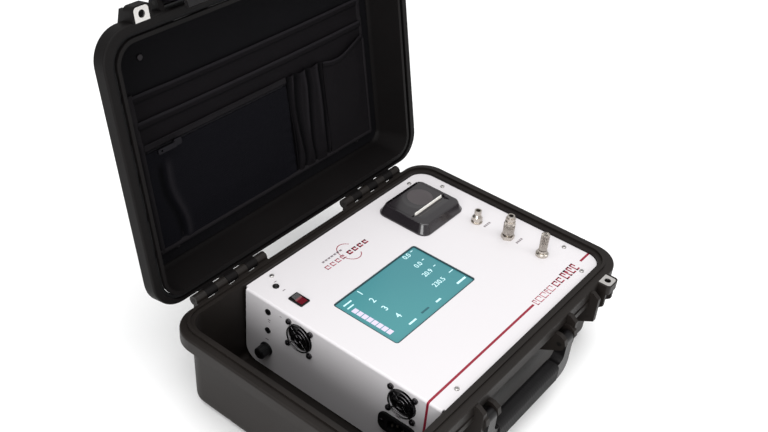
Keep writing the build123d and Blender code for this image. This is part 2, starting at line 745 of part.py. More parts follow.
def make_printer_housing():
    foot_z = panel_z + 2.0
    lower = rounded_block(
        around(printer_x, printer_width), around(printer_y, printer_depth), (panel_z, foot_z), 12
    )
    upper = loft(
        [
            rounded_sheet(around(printer_x, printer_width - 1), around(printer_y, printer_depth - 1),
                          foot_z, 11.5),
            rounded_sheet(around(printer_x, printer_width - 11), around(printer_y, printer_depth - 11),
                          door_top_z, 9),
        ],
        ruled=True,
    )
    upper = fillet(upper.edges().group_by(Axis.Z)[-1], 2)
    body_z = (roll_z - paper_radius - 3, panel_z)
    body = block(
        around(printer_x, printer_width - 12.6), around(printer_y, printer_depth - 12.6), body_z
    )
    housing = lower + upper + body
    bay_x = around(printer_x, paper_width + 3)
    bay_y = (roll_y - paper_radius - 6.5, roll_y + paper_radius + 2)
    housing -= block(bay_x, bay_y, (body_z[0] + 2, door_top_z - 3.9))
    wide_x = around(printer_x, 2 * door_half + 1)
    housing -= block(wide_x, (slot_front_y, door_back_y + 3.2), (panel_z - 1, door_top_z + 1))
    # A shallow scoop leads the torn paper forward.
    scoop_x = around(printer_x + 2, paper_width + 2)
    scoop_y = slot_front_y - scoop_reach
    scoop = profile_x(
        scoop_x,
        [(slot_front_y + 1, door_top_z + 1), (slot_front_y + 1, door_top_z - 2.4),
         (scoop_y, door_top_z - 0.5), (scoop_y, door_top_z + 1)],
    )
    scoop_outline = rounded_block(
        scoop_x, (scoop_y, slot_front_y + 2 * scoop_corner), (door_top_z - 3, door_top_z + 2),
        scoop_corner,
    )
    housing -= scoop & scoop_outline
    pivot_x = around(printer_x, 2 * door_half + 5)
    housing -= rod_x(pivot_x, door_axis_y, door_pivot_z, 1.5 + running_clearance)
    return housing


def make_printer_door():
    x_span = around(printer_x, 2 * door_half)
    door = block(x_span, (slot_back_y, door_axis_y), (door_top_z - 3.2, door_top_z))
    door += rod_x(x_span, door_axis_y, door_pivot_z, 3.0)
    nose = door.edges().filter_by(Axis.X).group_by(Axis.Y)[0].sort_by(Axis.Z)[-1]
    door = fillet(nose, 1.2)
    trunnion_x = around(printer_x, 2 * door_half + 4.4)
    door += rod_x(trunnion_x, door_axis_y, door_pivot_z, 1.5)
    for side in (-1, 1):
        cheek_reach = (printer_x + side * cheek_half, printer_x + side * (cheek_half + cheek_width))
        cheek_x = sorted(cheek_reach)
        door += block(cheek_x, around(platen_y, 5.6), (platen_z, door_top_z - 2))
        door += rod_x(cheek_x, platen_y, platen_z, 2.8)
        door -= rod_x(cheek_x, platen_y, platen_z, 1.5 + running_clearance)
    # A wide, shallow thumb dish in the middle of the door.
    dish_y = slot_back_y + dish_behind_slot
    dish = Pos(printer_x, dish_y, door_top_z + dish_radius - dish_depth) * Sphere(dish_radius)
    return door - dish


def make_platen_roller():
    roller = rod_x(around(printer_x, 2 * platen_half), platen_y, platen_z, 4.0)
    shaft_x = around(printer_x, 2 * (cheek_half + cheek_width) - 0.8)
    return roller + rod_x(shaft_x, platen_y, platen_z, 1.5)


def make_paper_roll():
    roll = rod_x(around(printer_x, paper_width), roll_y, roll_z, paper_radius)
    return roll - rod_x(around(printer_x, paper_width + 2), roll_y, roll_z, 6.5)


def make_printer_mechanism():
    head_y = (roll_y - paper_radius - 6.0, platen_y - 4.5)
    head = block(around(printer_x, paper_width + 2), head_y, (panel_z - 4, door_top_z - 4.4))
    rail_z = (panel_z - 7.5, panel_z - 4)
    return head + block(around(printer_x, paper_width), (head_y[0], head_y[0] + 3), rail_z)


def make_tear_bar():
    return block(
        around(printer_x, paper_width), (slot_front_y, slot_front_y + 1.1),
        (door_top_z - 3.6, door_top_z - 0.3),
    )


# ---------------------------------------------------------------- switch and lamp
rocker_z = panel_z - 1.6
rocker_pin = 1.2
rocker_tilt = 9.0
rocker_axis = Axis((0, switch_y, rocker_z), (1, 0, 0))


def make_rocker_housing():
    flange = rounded_block(
        around(switch_x, switch_width + 1), around(switch_y, switch_length + 1),
        (panel_z, panel_z + 1.6), 1.5,
    )
    flange = fillet(flange.edges().group_by(Axis.Z)[-1], 0.6)
    body = block(
        around(switch_x, switch_width - 1.4), around(switch_y, switch_length - 1.4),
        (panel_z - 16, panel_z),
    )
    pocket = block(
        around(switch_x, switch_width - 3.2), around(switch_y, switch_length - 2.2),
        (panel_z - 12, panel_z + 3),
    )
    pivot_x = around(switch_x, switch_width - 2.2)
    return flange + body - pocket - rod_x(pivot_x, switch_y, rocker_z, rocker_pin + running_clearance)


def make_rocker():
    half = switch_length / 2 - 2.0
    front_y, back_y = switch_y - half, switch_y + half
    points = [
        (front_y, rocker_z + 4.2), (switch_y, rocker_z + 3.0), (back_y, rocker_z + 4.2),
        (back_y, rocker_z - 0.5), (switch_y + 4, rocker_z - 6), (switch_y - 4, rocker_z - 6),
        (front_y, rocker_z - 0.5),
    ]
    rocker = profile_x(around(switch_x, switch_width - 3.8), points)
    rocker += rod_x(around(switch_x, switch_width - 2.5), switch_y, rocker_z, rocker_pin)
    return rocker.rotate(rocker_axis, rocker_tilt)


def make_charge_lamp():
    ring = rod_z(lamp_x, lamp_y, (panel_z, panel_z + 1.4), 4.0)
    ring = fillet(ring.edges().group_by(Axis.Z)[-1], 0.7)
    stem = rod_z(lamp_x, lamp_y, (panel_z - 9, panel_z), 2.5)
    lens = Pos(lamp_x, lamp_y, panel_z + 1.0) * Sphere(1.9)
    return ring + stem + lens


# ---------------------------------------------------------------- gas fittings
port_bottom_z = panel_z - 20.0


def make_sample_port():
    # Short push-in fitting for a 6 mm sample line.
    fitting = rod_z(port_x, sample_y, (panel_z, panel_z + 1.6), 7.4)
    fitting += hex_z(port_x, sample_y, (panel_z + 1.6, panel_z + 8), 12)
    cone = Pos(port_x, sample_y, panel_z + 10) * Cone(6.0, 4.6, 4)
    fitting += cone + rod_z(port_x, sample_y, (panel_z + 12, panel_z + 17.7), 4.6)
    fitting += rod_z(port_x, sample_y, (port_bottom_z, panel_z), port_stem_radius)
    fitting -= rod_z(port_x, sample_y, (panel_z + 3.7, panel_z + 18), line_radius)
    return fitting - rod_z(port_x, sample_y, (port_bottom_z - 1, panel_z + 4), port_bore_radius)


def make_outlet_port():
    # Quick-release coupling: a fixed body with a sprung sleeve round it.
    fitting = hex_z(port_x, outlet_y, (panel_z, panel_z + 5), 15)
    fitting += rod_z(port_x, outlet_y, (panel_z + 5, panel_z + 24), 4.8)
    fitting += rod_z(port_x, outlet_y, (panel_z + 23.4, panel_z + 26), 6.6)
    fitting += hex_z(port_x, outlet_y, (panel_z + 26, panel_z + 31), 11)
    fitting += rod_z(port_x, outlet_y, (panel_z + 31, panel_z + 33.7), 4.8)
    fitting += rod_z(port_x, outlet_y, (port_bottom_z, panel_z), port_stem_radius)
    fitting -= rod_z(port_x, outlet_y, (panel_z + 18, panel_z + 34), line_radius)
    return fitting - rod_z(port_x, outlet_y, (port_bottom_z - 1, panel_z + 19), port_bore_radius)


def make_outlet_sleeve():
    sleeve = rod_z(port_x, outlet_y, (panel_z + 7.5, panel_z + 23), 7.3)
    sleeve = chamfer(sleeve.edges().group_by(Axis.Z)[-1], 0.8)
    for z in (panel_z + 17.0, panel_z + 19.5):
        sleeve -= rod_z(port_x, outlet_y, (z, z + 1.0), 8.0) - rod_z(port_x, outlet_y, (z, z + 1.0), 6.8)
    bore = 4.8 + running_clearance
    return sleeve - rod_z(port_x, outlet_y, (panel_z + 7, panel_z + 24), bore)


def make_flow_valve_body():
    body = rod_z(port_x, valve_y, (panel_z, panel_z + 4.5), 8.0)
    body = chamfer(body.edges().group_by(Axis.Z)[-1], 1.2)
    body += rod_z(port_x, valve_y, (panel_z + 4, panel_z + 8), 5.6)
    body += rod_z(port_x, valve_y, (panel_z + 8, panel_z + 26), 3.0)
    body += rod_z(port_x, valve_y, (port_bottom_z, panel_z), port_stem_radius)
    return body - rod_z(port_x, valve_y, (port_bottom_z - 1, panel_z + 2), port_bore_radius)


def make_flow_knob():
    knob = rod_z(port_x, valve_y, (panel_z + 9, panel_z + 32), 5.3)
    knob = chamfer(knob.edges().group_by(Axis.Z)[-1], 0.8)
    for turn in range(16):
        groove = Pos(5.5, 0, 0) * Cylinder(0.45, 11)
        knob -= Pos(port_x, valve_y, panel_z + 24.5) * Rot(0, 0, turn * 22.5) * groove
    bore = 3.0 + running_clearance
    return knob - rod_z(port_x, valve_y, (panel_z + 8, panel_z + 26.5), bore)


def make_port_nuts():
    nuts = []
    for y in (sample_y, outlet_y, valve_y):
        nut = hex_z(port_x, y, (panel_under_z - 5, panel_under_z), 15)
        nuts.append(nut - rod_z(port_x, y, (panel_under_z - 6, panel_under_z + 1), port_stem_radius))
    return nuts


# ---------------------------------------------------------------- fans on the side plate
fan_z = panel_z - fan_drop
rotor_radius = fan_size / 2 - 2.0
guard_height = 3.2
guard_foot = 2.3
guard_ring_inset = 3.0      # outer ring inside the fan's edge
guard_ring_pitch = 5.4
guard_wire = 0.8            # radius of the wire
guard_spoke_lift = 0.55     # spokes behind the rings
guard_hub = 2.4
guard_foot_radius = 3.6


def make_fan_frame(y):
    x_span = (side_inner_x, side_inner_x + fan_thickness)
    frame = rounded_plate_yz(x_span, around(y, fan_size), around(fan_z, fan_size), 3)
    frame -= rod_x((x_span[0] - 1, x_span[1] + 1), y, fan_z, fan_size / 2 - 1.2)
    spider_x = (x_span[1] - 1.6, x_span[1])
    frame += rod_x(spider_x, y, fan_z, 9.5)
    for turn in (45, 165, 285):
        strut = Pos(0, 0, fan_size / 4) * Box(1.6, 3, fan_size / 2 - 1)
        frame += Pos(sum(spider_x) / 2, y, fan_z) * Rot(turn, 0, 0) * strut
    frame += rod_x((x_span[0] + 2.5, spider_x[0]), y, fan_z, 1.5)
    for dy, dz in fan_corners():
        frame -= rod_x((x_span[0] - 1, x_span[1] + 1), y + dy, fan_z + dz, screw_radius)
    return frame


def make_fan_rotor(y):
    x_span = (side_inner_x + 0.8, side_inner_x + fan_thickness - 2.2)
    rotor = rod_x(x_span, y, fan_z, 9.0)
    for turn in range(7):
        blade = Pos(0, 0, rotor_radius / 2 + 3) * Rot(0, 0, 48) * Box(0.9, 7.6, rotor_radius - 6)
        rotor += Pos(sum(x_span) / 2, y, fan_z) * Rot(turn * 360 / 7, 0, 0) * blade
    bounds_x = (x_span[0], x_span[1])
    rotor &= rod_x(bounds_x, y, fan_z, rotor_radius)
    return rotor - rod_x((x_span[0] + 1.2, x_span[1] + 1), y, fan_z, 1.5 + running_clearance)


def make_fan_guard(y):
    # Three wire rings on four spokes, with a foot round each screw.
    ring_x = panel_left - guard_height + guard_wire
    spoke_x = ring_x + guard_spoke_lift
    hub_x = (ring_x - guard_wire - 0.05, spoke_x + guard_wire + 0.15)
    guard = rod_x(hub_x, y, fan_z, guard_hub)
    spoke_start = guard_hub / 2
    spoke_end = fan_pitch / 2 ** 0.5 - guard_foot_radius + 0.5
    for turn in (45, 135, 225, 315):
        spoke = Pos(0, 0, (spoke_start + spoke_end) / 2) * Cylinder(guard_wire, spoke_end - spoke_start)
        guard += Pos(spoke_x, y, fan_z) * Rot(turn, 0, 0) * spoke
    for radius in [fan_size / 2 - guard_ring_inset - n * guard_ring_pitch for n in range(3)]:
        guard += Pos(ring_x, y, fan_z) * Rot(0, 90, 0) * Torus(radius, guard_wire)
    for dy, dz in fan_corners():
        foot_x = (panel_left - guard_foot, panel_left)
        foot = rod_x(foot_x, y + dy, fan_z + dz, guard_foot_radius)
        foot_hole = rod_x((panel_left - 4, panel_left + 1), y + dy, fan_z + dz, screw_hole)
        guard = guard + foot - foot_hole
    return guard


def make_side_screws():
    screws = []
    for y in (fan_rear_y, fan_front_y):
        for dy, dz in fan_corners():
            screws.append(make_side_screw(y + dy, fan_z + dz, panel_left - guard_foot))
    for side_y in (-20, 20):
        screws.append(make_side_screw(inlet_y + side_y, panel_z - inlet_drop, panel_left - 2.5))
    return screws


def make_side_screw(y, z, seat_x):
    head = rod_x((seat_x - 1.6, seat_x), y, z, 2.7)
    head = fillet(head.edges().filter_by(GeomType.CIRCLE).group_by(Axis.X)[0], 0.9)
    head -= block((seat_x - 2, seat_x - 0.9), around(y, 3.4), around(z, 0.7))
    head -= block((seat_x - 2, seat_x - 0.9), around(y, 0.7), around(z, 3.4))
    return head + rod_x((seat_x, side_inner_x + fan_thickness - 1), y, z, screw_radius)


# ---------------------------------------------------------------- side plate connections
inlet_z = panel_z - inlet_drop


def make_power_inlet():
    # Three-pin mains inlet held by two screws.
    flange_x = (panel_left - 2.5, panel_left)
    flange = rounded_plate_yz(flange_x, around(inlet_y, 50), around(inlet_z, 26), 9)
    shroud = block((panel_left, side_inner_x + 20), around(inlet_y, 28), around(inlet_z, 22))
    inlet = flange + shroud
    recess = block((panel_left - 3, side_inner_x + 12), around(inlet_y, 24.6), around(inlet_z, 16.4))
    recess = chamfer(recess.edges().filter_by(Axis.X).group_by(Axis.Z)[-1], 5)
    inlet -= recess
    for blade in make_inlet_blades():
        inlet -= blade
    for side_y in (-20, 20):
        inlet -= rod_x((panel_left - 3, panel_left + 1), inlet_y + side_y, inlet_z, screw_hole)
    return inlet


def make_inlet_blades():
    places = ((-7.0, -1.6), (0.0, 2.4), (7.0, -1.6))
    blade_x = (side_inner_x - 2.0, side_inner_x + 18)
    return [
        block(blade_x, around(inlet_y + dy, 2.0), around(inlet_z + dz, 4.0)) for dy, dz in places
    ]


def make_fuse_holder():
    z = panel_z - fuse_drop
    holder = rod_x((panel_left - 2.5, panel_left), fuse_y, z, 9.0)
    holder = chamfer(holder.edges().filter_by(GeomType.CIRCLE).group_by(Axis.X)[0], 0.8)
    holder += rod_x((panel_left, side_inner_x + 28), fuse_y, z, 6.2)
    return holder - rod_x((panel_left - 3, side_inner_x + 24), fuse_y, z, 4.5)


def make_fuse_cap():
    z = panel_z - fuse_drop
    seat_x = panel_left - 2.8
    cap = rod_x((seat_x - 11, seat_x), fuse_y, z, 7.6)
    cap = chamfer(cap.edges().filter_by(GeomType.CIRCLE).group_by(Axis.X)[0], 1.4)
    for turn in range(12):
        flute = Pos(0, 0, 8.0) * Rot(0, 90, 0) * Cylinder(0.9, 8)
        cap -= Pos(seat_x - 6, fuse_y, z) * Rot(turn * 30, 0, 0) * flute
    cap -= block((seat_x - 12, seat_x - 9.6), around(fuse_y, 8), around(z, 1.4))
    return cap + rod_x((seat_x, side_inner_x + 16), fuse_y, z, 4.5 - running_clearance)


def make_signal_sockets():
    sockets = []
    for drop in socket_drops:
        z = panel_z - drop
        ring = rod_x((panel_left - 1.2, panel_left), socket_y, z, 4.0)
        ring += rod_x((panel_left, side_inner_x + 12), socket_y, z, 2.8)
        sockets.append(ring - rod_x((panel_left - 2, side_inner_x + 8), socket_y, z, 1.75))
    return sockets


# ---------------------------------------------------------------- inside the instrument
inside_floor_z = tray_z + tray_thickness
board_below_panel = 45.5    # main board's underside below the panel
pump_top_z = inside_floor_z + 46.0
bench_top_z = inside_floor_z + 42.0
cell_top_z = inside_floor_z + 44.0


def make_battery_pack():
    x_low = side_inner_x + 54
    z_span = (inside_floor_z, inside_floor_z + 40)
    pack = rounded_block((x_low, x_low + 128), (half_depth - 74, half_depth - 12), z_span, 5)
    return fillet(pack.edges().group_by(Axis.Z)[-1], 3)


def make_power_supply():
    x_low = side_inner_x + 50
    y_low = -half_depth + 14
    cage = block((x_low, x_low + 110), (y_low, y_low + 60), (inside_floor_z, inside_floor_z + 38))
    for step in range(9):
        x = x_low + 11 + step * 11
        cage -= block((x, x + 4), (y_low + 12, y_low + 48), (inside_floor_z + 36, inside_floor_z + 39))
    return cage


def make_main_board():
    z = panel_under_z - board_below_panel
    x_span = around(display_x, 150)
    board = block(x_span, around(display_y, 86), (z, z + 1.6))
    for dx, dy, width, depth, height in (
        (-50, 20, 24, 24, 6), (-5, 20, 32, 26, 8), (42, 18, 20, 30, 12), (-40, -24, 40, 16, 10),
        (24, -24, 30, 18, 5), (58, -22, 14, 14, 14),
    ):
        chip_x, chip_y = around(display_x + dx, width), around(display_y + dy, depth)
        board += block(chip_x, chip_y, (z + 1.6, z + 1.6 + height))
    for dx in (-70, 70):
        for dy in (-38, 38):
            board += rod_z(display_x + dx, display_y + dy, (inside_floor_z, z), 3)
    return board


def make_gas_pump():
    pump = block(around(port_x - 4, 46), around(sample_y + 2, 36), (inside_floor_z, pump_top_z - 14))
    pump += rod_z(port_x - 4, sample_y + 2, (pump_top_z - 16, pump_top_z - 4), 15)
    return pump + rod_z(port_x, sample_y, (pump_top_z - 6, pump_top_z), 3.0)


def make_sensor_bench():
    bench = block(around(port_x - 28, 96), around(valve_y - 8, 46), (inside_floor_z, bench_top_z - 8))
    return bench + rod_z(port_x, valve_y, (bench_top_z - 10, bench_top_z), 3.0)


def make_oxygen_cell():
    cell = rod_z(port_x, outlet_y - 2, (inside_floor_z, cell_top_z - 8), 14)
    return cell + rod_z(port_x, outlet_y, (cell_top_z - 10, cell_top_z), 3.0)


def make_gas_tubes():
    # Upright hoses from each fitting to what it serves.
    tubes = []
    for y, low_z in ((sample_y, pump_top_z), (outlet_y, cell_top_z), (valve_y, bench_top_z)):
        tube = rod_z(port_x, y, (low_z, port_bottom_z), 4.0)
        tubes.append(tube - rod_z(port_x, y, (low_z - 1, port_bottom_z + 1), 2.4))
    return tubes


# ---------------------------------------------------------------- lid organiser, laid out shut
board_top_z = lid_roof_z - board_standoff
board_face_z = board_top_z - board_thickness
pocket_left = -half_length + pocket_left_inset
pocket_right = half_length - pocket_right_inset
pocket_bottom_y = half_depth - pocket_bottom_inset
pen_right = pocket_right - card_pocket_width
zip_right = pen_right - pen_pockets_width
rear_pocket_top, front_pocket_top, low_pocket_top = [
    -half_depth + inset for inset in pocket_top_insets
]
zip_line_y = low_pocket_top + 9.0
rear_pocket_z = (board_face_z - 2.0, board_face_z)
front_pocket_z = (board_face_z - 4.2, board_face_z - 2.2)
low_pocket_z = (board_face_z - 9.0, board_face_z - 4.4)


def organiser_screw_places():
    x = half_length - 54.5
    return [(-x, -half_depth + 34), (x, -half_depth + 34), (-x, half_depth - 26), (x, half_depth - 26)]


def make_organiser_board():
    x_span = (-half_length + board_margin, half_length - board_margin)
    y_span = (-half_depth + board_margin, half_depth - board_margin)
    board = rounded_block(x_span, y_span, (board_face_z, board_top_z), 16)
    for x, y in organiser_screw_places():
        board -= rod_z(x, y, (board_face_z - 1, board_top_z + 1), 1.7)
    return board


def make_organiser_screws():
    screws = []
    for x, y in organiser_screw_places():
        head = rod_z(x, y, (board_face_z - 1.8, board_face_z), 3.6)
        head = fillet(head.edges().group_by(Axis.Z)[0], 0.9)
        screws.append(head + rod_z(x, y, (board_face_z, board_top_z + 4), 1.5))
    return screws


def pocket(x_span, y_top, z_span):
    slab = block(x_span, (y_top, pocket_bottom_y), z_span)
    return fillet(slab.edges().group_by(Axis.Z)[0], 0.8)


def make_document_pockets():
    inset = 1.0
    rear = pocket((pocket_left, pocket_right), rear_pocket_top, rear_pocket_z)
    front = pocket((pocket_left + inset, pocket_right - inset), front_pocket_top, front_pocket_z)
    return [rear, front]


def make_zip_pocket():
    return pocket((pocket_left + 2, zip_right), low_pocket_top, low_pocket_z)


def make_pen_pockets():
    pens = []
    width = (pen_right - zip_right - 4) / 3
    for number in range(3):
        start = zip_right + 2 + number * width
        pens.append(pocket((start, start + width - 0.6), low_pocket_top + 1, low_pocket_z))
    return pens


def make_card_pocket():
    return pocket((pen_right, pocket_right - 2), low_pocket_top - 8, low_pocket_z)


def make_zip_slider():
    x = pocket_left + 42.0
    face_z = low_pocket_z[0] - 0.5
    body = rounded_block(around(x, 11), around(zip_line_y, 8), (face_z - 2.6, face_z), 2)
    # The pull lies along the zip.
    tab_y = zip_line_y + 1.5
    tab = rounded_block((x - 28, x - 2), around(tab_y, 6), (face_z - 3.4, face_z - 1.8), 2)
    tab -= rod_z(x - 23, tab_y, (face_z - 5, face_z), 1.4)
    return body + tab


def make_lid_seal():
    seal_z = (lid_z + tongue_height + 0.4, lid_z + tongue_height + 4.6)
    seal = sealing_ring(tongue_inset - 0.5, tongue_width + 1.0, seal_z)
    return fillet(seal.edges().group_by(Axis.Z)[0], 1.2)


# ---------------------------------------------------------------- writing the pieces
hinge_pin = rod_x(hinge_pin_span(), hinge_y, hinge_z, hinge_pin_radius)
base_plate = make_padlock_plate(rim_z - plate_thickness, rim_z, True)
lid_plate = make_padlock_plate(lid_z, lid_z + plate_thickness, True)
latch_frame = swing_open(latch_at_rest(make_latch_frame()))
latch_lever = swing_open(latch_at_rest(make_latch_lever()))

pieces = {
    "base_shell": make_base_shell(),
    "hinge_pins": both_sides(hinge_pin),
    "padlock_plates_base": both_sides(base_plate),
    "pressure_valve": make_pressure_valve(),
    "handle_pins": both_sides(make_handle_pin()),
    "handle_frame": make_handle_frame(),
    "handle_grip": make_handle_grip(),
    "front_panel": make_front_panel(),
    "panel_screws": make_panel_screws(),
    "chassis_tray": make_chassis_tray(),
    "display_frame": make_display_frame(),
    "display_glass": make_display_glass(),
    "display_module": make_display_module(),
    "printer_housing": make_printer_housing(),
    "printer_door": make_printer_door(),
    "platen_roller": make_platen_roller(),
    "paper_roll": make_paper_roll(),
    "printer_mechanism": make_printer_mechanism(),
    "tear_bar": make_tear_bar(),
    "rocker_housing": make_rocker_housing(),
    "rocker": make_rocker(),
    "charge_lamp": make_charge_lamp(),
    "sample_port": make_sample_port(),
    "outlet_port": make_outlet_port(),
    "outlet_sleeve": make_outlet_sleeve(),
    "flow_valve_body": make_flow_valve_body(),
    "flow_knob": make_flow_knob(),
    "port_nuts": make_port_nuts(),
    "fan_frames": [make_fan_frame(fan_rear_y), make_fan_frame(fan_front_y)],
    "fan_rotor_rear": make_fan_rotor(fan_rear_y),
    "fan_rotor_front": make_fan_rotor(fan_front_y),
    "fan_guards": [make_fan_guard(fan_rear_y), make_fan_guard(fan_front_y)],
    "side_screws": make_side_screws(),
    "power_inlet": make_power_inlet(),
    "inlet_blades": make_inlet_blades(),
    "fuse_holder": make_fuse_holder(),
    "fuse_cap": make_fuse_cap(),
    "signal_sockets": make_signal_sockets(),
    "battery_pack": make_battery_pack(),
    "power_supply": make_power_supply(),
    "main_board": make_main_board(),
    "gas_pump": make_gas_pump(),
    "sensor_bench": make_sensor_bench(),
    "oxygen_cell": make_oxygen_cell(),
    "gas_tubes": make_gas_tubes(),
    "lid_shell": swing_open(make_lid_shell()),
    "lid_seal": swing_open(make_lid_seal()),
    "padlock_plates_lid": swing_open(both_sides(lid_plate)),
    "latch_pins": swing_open(both_sides(make_latch_pin())),
    "latch_frame_right": latch_frame,
    "latch_frame_left": mirror(latch_frame, about=Plane.YZ),
    "latch_lever_right": latch_lever,
    "latch_lever_left": mirror(latch_lever, about=Plane.YZ),
    "organiser_board": swing_open(make_organiser_board()),
    "organiser_screws": swing_open(make_organiser_screws()),
    "document_pockets": swing_open(make_document_pockets()),
    "zip_pocket": swing_open(make_zip_pocket()),
    "pen_pockets": swing_open(make_pen_pockets()),
    "card_pocket": swing_open(make_card_pocket()),
    "zip_slider": swing_open(make_zip_slider()),
}

for name, shape in pieces.items():
    export(shape, name)
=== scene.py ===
from math import cos, exp, pi, radians, sin

import bmesh
import bpy
from mathutils import Matrix, Vector, noise


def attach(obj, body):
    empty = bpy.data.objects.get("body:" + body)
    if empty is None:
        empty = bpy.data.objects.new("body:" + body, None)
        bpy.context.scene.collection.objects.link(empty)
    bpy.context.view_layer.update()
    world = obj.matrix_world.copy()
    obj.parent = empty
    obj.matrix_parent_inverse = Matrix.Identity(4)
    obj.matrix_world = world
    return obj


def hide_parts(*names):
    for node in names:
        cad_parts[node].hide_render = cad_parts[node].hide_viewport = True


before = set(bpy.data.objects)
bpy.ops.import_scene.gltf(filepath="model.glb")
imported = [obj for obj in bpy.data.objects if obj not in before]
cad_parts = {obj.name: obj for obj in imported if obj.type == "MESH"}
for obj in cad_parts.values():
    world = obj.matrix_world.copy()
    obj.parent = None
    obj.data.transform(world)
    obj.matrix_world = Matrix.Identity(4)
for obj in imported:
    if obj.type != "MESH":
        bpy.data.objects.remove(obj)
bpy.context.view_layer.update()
mm = 0.001
print("frame loaded:", len(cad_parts), "nodes")


class Wire:  # one socket of a node, so that shader maths reads as Python
    def __init__(self, finish, socket):
        self.finish, self.socket = finish, socket

    def math(self, operation, first, second=0.0):
        return self.finish.node("Math", {"operation": operation}, {0: first, 1: second})

    def also(self, name):  # another output of the same node
        return Wire(self.finish, self.socket.node.outputs[name])

    def __add__(self, other):
        return self.math("ADD", self, other)

    def __radd__(self, other):
        return self.math("ADD", other, self)

    def __sub__(self, other):
        return self.math("SUBTRACT", self, other)

    def __rsub__(self, other):
        return self.math("SUBTRACT", other, self)

    def __mul__(self, other):
        return self.math("MULTIPLY", self, other)

    def __rmul__(self, other):
        return self.math("MULTIPLY", other, self)

    def __gt__(self, other):
        return self.math("GREATER_THAN", self, other)

    def __lt__(self, other):
        return self.math("LESS_THAN", self, other)

    def __abs__(self):
        return self.math("ABSOLUTE", self)

    def sine(self):
        return self.math("SINE", self)

    def higher(self, other):
        return self.math("MAXIMUM", self, other)


class Finish:  # a material while it is being built
    def __init__(self, name):
        self.material = bpy.data.materials.new(name)
        self.material.use_nodes = True
        self.tree = self.material.node_tree
        self.tree.nodes.clear()
        self.where = self.node("TexCoord").also("Object")
        self.x = self.node("SeparateXYZ", {}, {0: self.where})
        self.y, self.z = self.x.also("Y"), self.x.also("Z")

    def node(self, kind, settings=None, sockets=None, out=0):
        made = self.tree.nodes.new("ShaderNode" + kind)
        for name, value in (settings or {}).items():
            setattr(made, name, value)
        for name, value in (sockets or {}).items():
            if isinstance(value, Wire):
                self.tree.links.new(value.socket, made.inputs[name])
            else:
                made.inputs[name].default_value = value
        return Wire(self, made.outputs[out]) if made.outputs else made

    def noise(self, scale, detail=2.0, rough=0.5, where=None):
        return self.node("TexNoise", {}, {"Vector": where or self.where, "Scale": scale,
                                          "Detail": detail, "Roughness": rough})

    def cells(self, scale):
        return self.node("TexVoronoi", {}, {"Vector": self.where, "Scale": scale})

    def smooth(self, value, low, high):  # 0 below low, 1 above high, soft between
        return self.node("MapRange", {"interpolation_type": "SMOOTHSTEP"},
                         {0: value, 1: low, 2: high, 3: 0.0, 4: 1.0})

    def stretched(self, x, y, z):  # the piece's own coordinates, scaled
        return self.node("Mapping", {}, {"Vector": self.where, "Scale": (x, y, z)})

    def blendColor(self, share, first, second):
        return self.node("Mix", {"data_type": "RGBA"}, {0: share, 6: first, 7: second}, out=2)

    def near(self, value, middle, half):  # 1 where value lies within half of middle
        return abs(value - middle) < half

    def surface(self, color, roughness, height=None, depth=0.0002, strength=0.5, **fixed):
        sockets = {"Base Color": color, "Roughness": roughness}
        if height is not None:
            sockets["Normal"] = self.node("Bump", {}, {"Height": height, "Distance": depth,
                                                       "Strength": strength})
        sockets.update({name.replace("_", " "): value for name, value in fixed.items()})
        shader = self.node("BsdfPrincipled", {}, sockets)
        self.node("OutputMaterial", {}, {"Surface": shader})
        return self.material


def paint(red, green, blue):  # screen colour 0 to 255, as the shader wants it
    def linear(c):
        c = c / 255
        return c / 12.92 if c <= 0.04045 else ((c + 0.055) / 1.055) ** 2.4
    return (linear(red), linear(green), linear(blue), 1.0)


mouldings = {  # dark colour, light colour, least and most roughness, specular level
    "casePlastic": (paint(17, 14, 12), paint(32, 27, 24), 0.40, 0.60, 0.20),
    "lidPlastic": (paint(8, 7, 7), paint(18, 15, 15), 0.46, 0.66, 0.10),
    "latchPlastic": (paint(7, 6, 7), paint(14, 12, 13), 0.28, 0.42, 0.24),
    "handlePlastic": (paint(8, 7, 8), paint(16, 14, 15), 0.30, 0.46, 0.24),
    "moduleBlack": (paint(24, 24, 26), paint(34, 34, 36), 0.40, 0.60, 0.26),
    "inletPlastic": (paint(10, 10, 11), paint(18, 18, 19), 0.30, 0.45, 0.26),
    "fanPlastic": (paint(12, 11, 12), paint(20, 19, 20), 0.34, 0.50, 0.26),
    "switchBlack": (paint(12, 11, 12), paint(20, 19, 20), 0.30, 0.42, 0.26),
    "bezelBlack": (paint(40, 58, 62), paint(50, 70, 74), 0.30, 0.45, 0.26),
}


def mouldedPlastic(name):
    dark, light, glossy, dull, shine = mouldings[name]
    m = Finish(name)
    cloud = m.noise(9.0, 3.0)
    pebble = m.cells(1500.0) * 0.6 + m.noise(2600.0, 2.0) * 0.5
    scuff = m.smooth(m.noise(1.0, 4.0, 0.7, m.stretched(40.0, 160.0, 90.0)), 0.62, 0.74)
    tone = m.blendColor(cloud * 0.7 + scuff * 0.3, dark, light)
    return m.surface(tone, glossy + cloud * (dull - glossy) + scuff * 0.08,
                     pebble + scuff * 0.4, 0.00012, 0.35, Specular_IOR_Level=shine)


def rubberFinish(name, tone, ribs=0.0):
    m = Finish(name)
    dust = m.noise(60.0, 4.0, 0.6)
    height = m.noise(1800.0, 2.0)
    if ribs:
        height = height * 0.3 + (m.x * (2 * pi / ribs)).sine()
    return m.surface(m.blendColor(dust * 0.5, paint(*tone), paint(*[t + 16 for t in tone])),
                     0.62 + dust * 0.2, height, 0.0002, 0.5, Specular_IOR_Level=0.2)


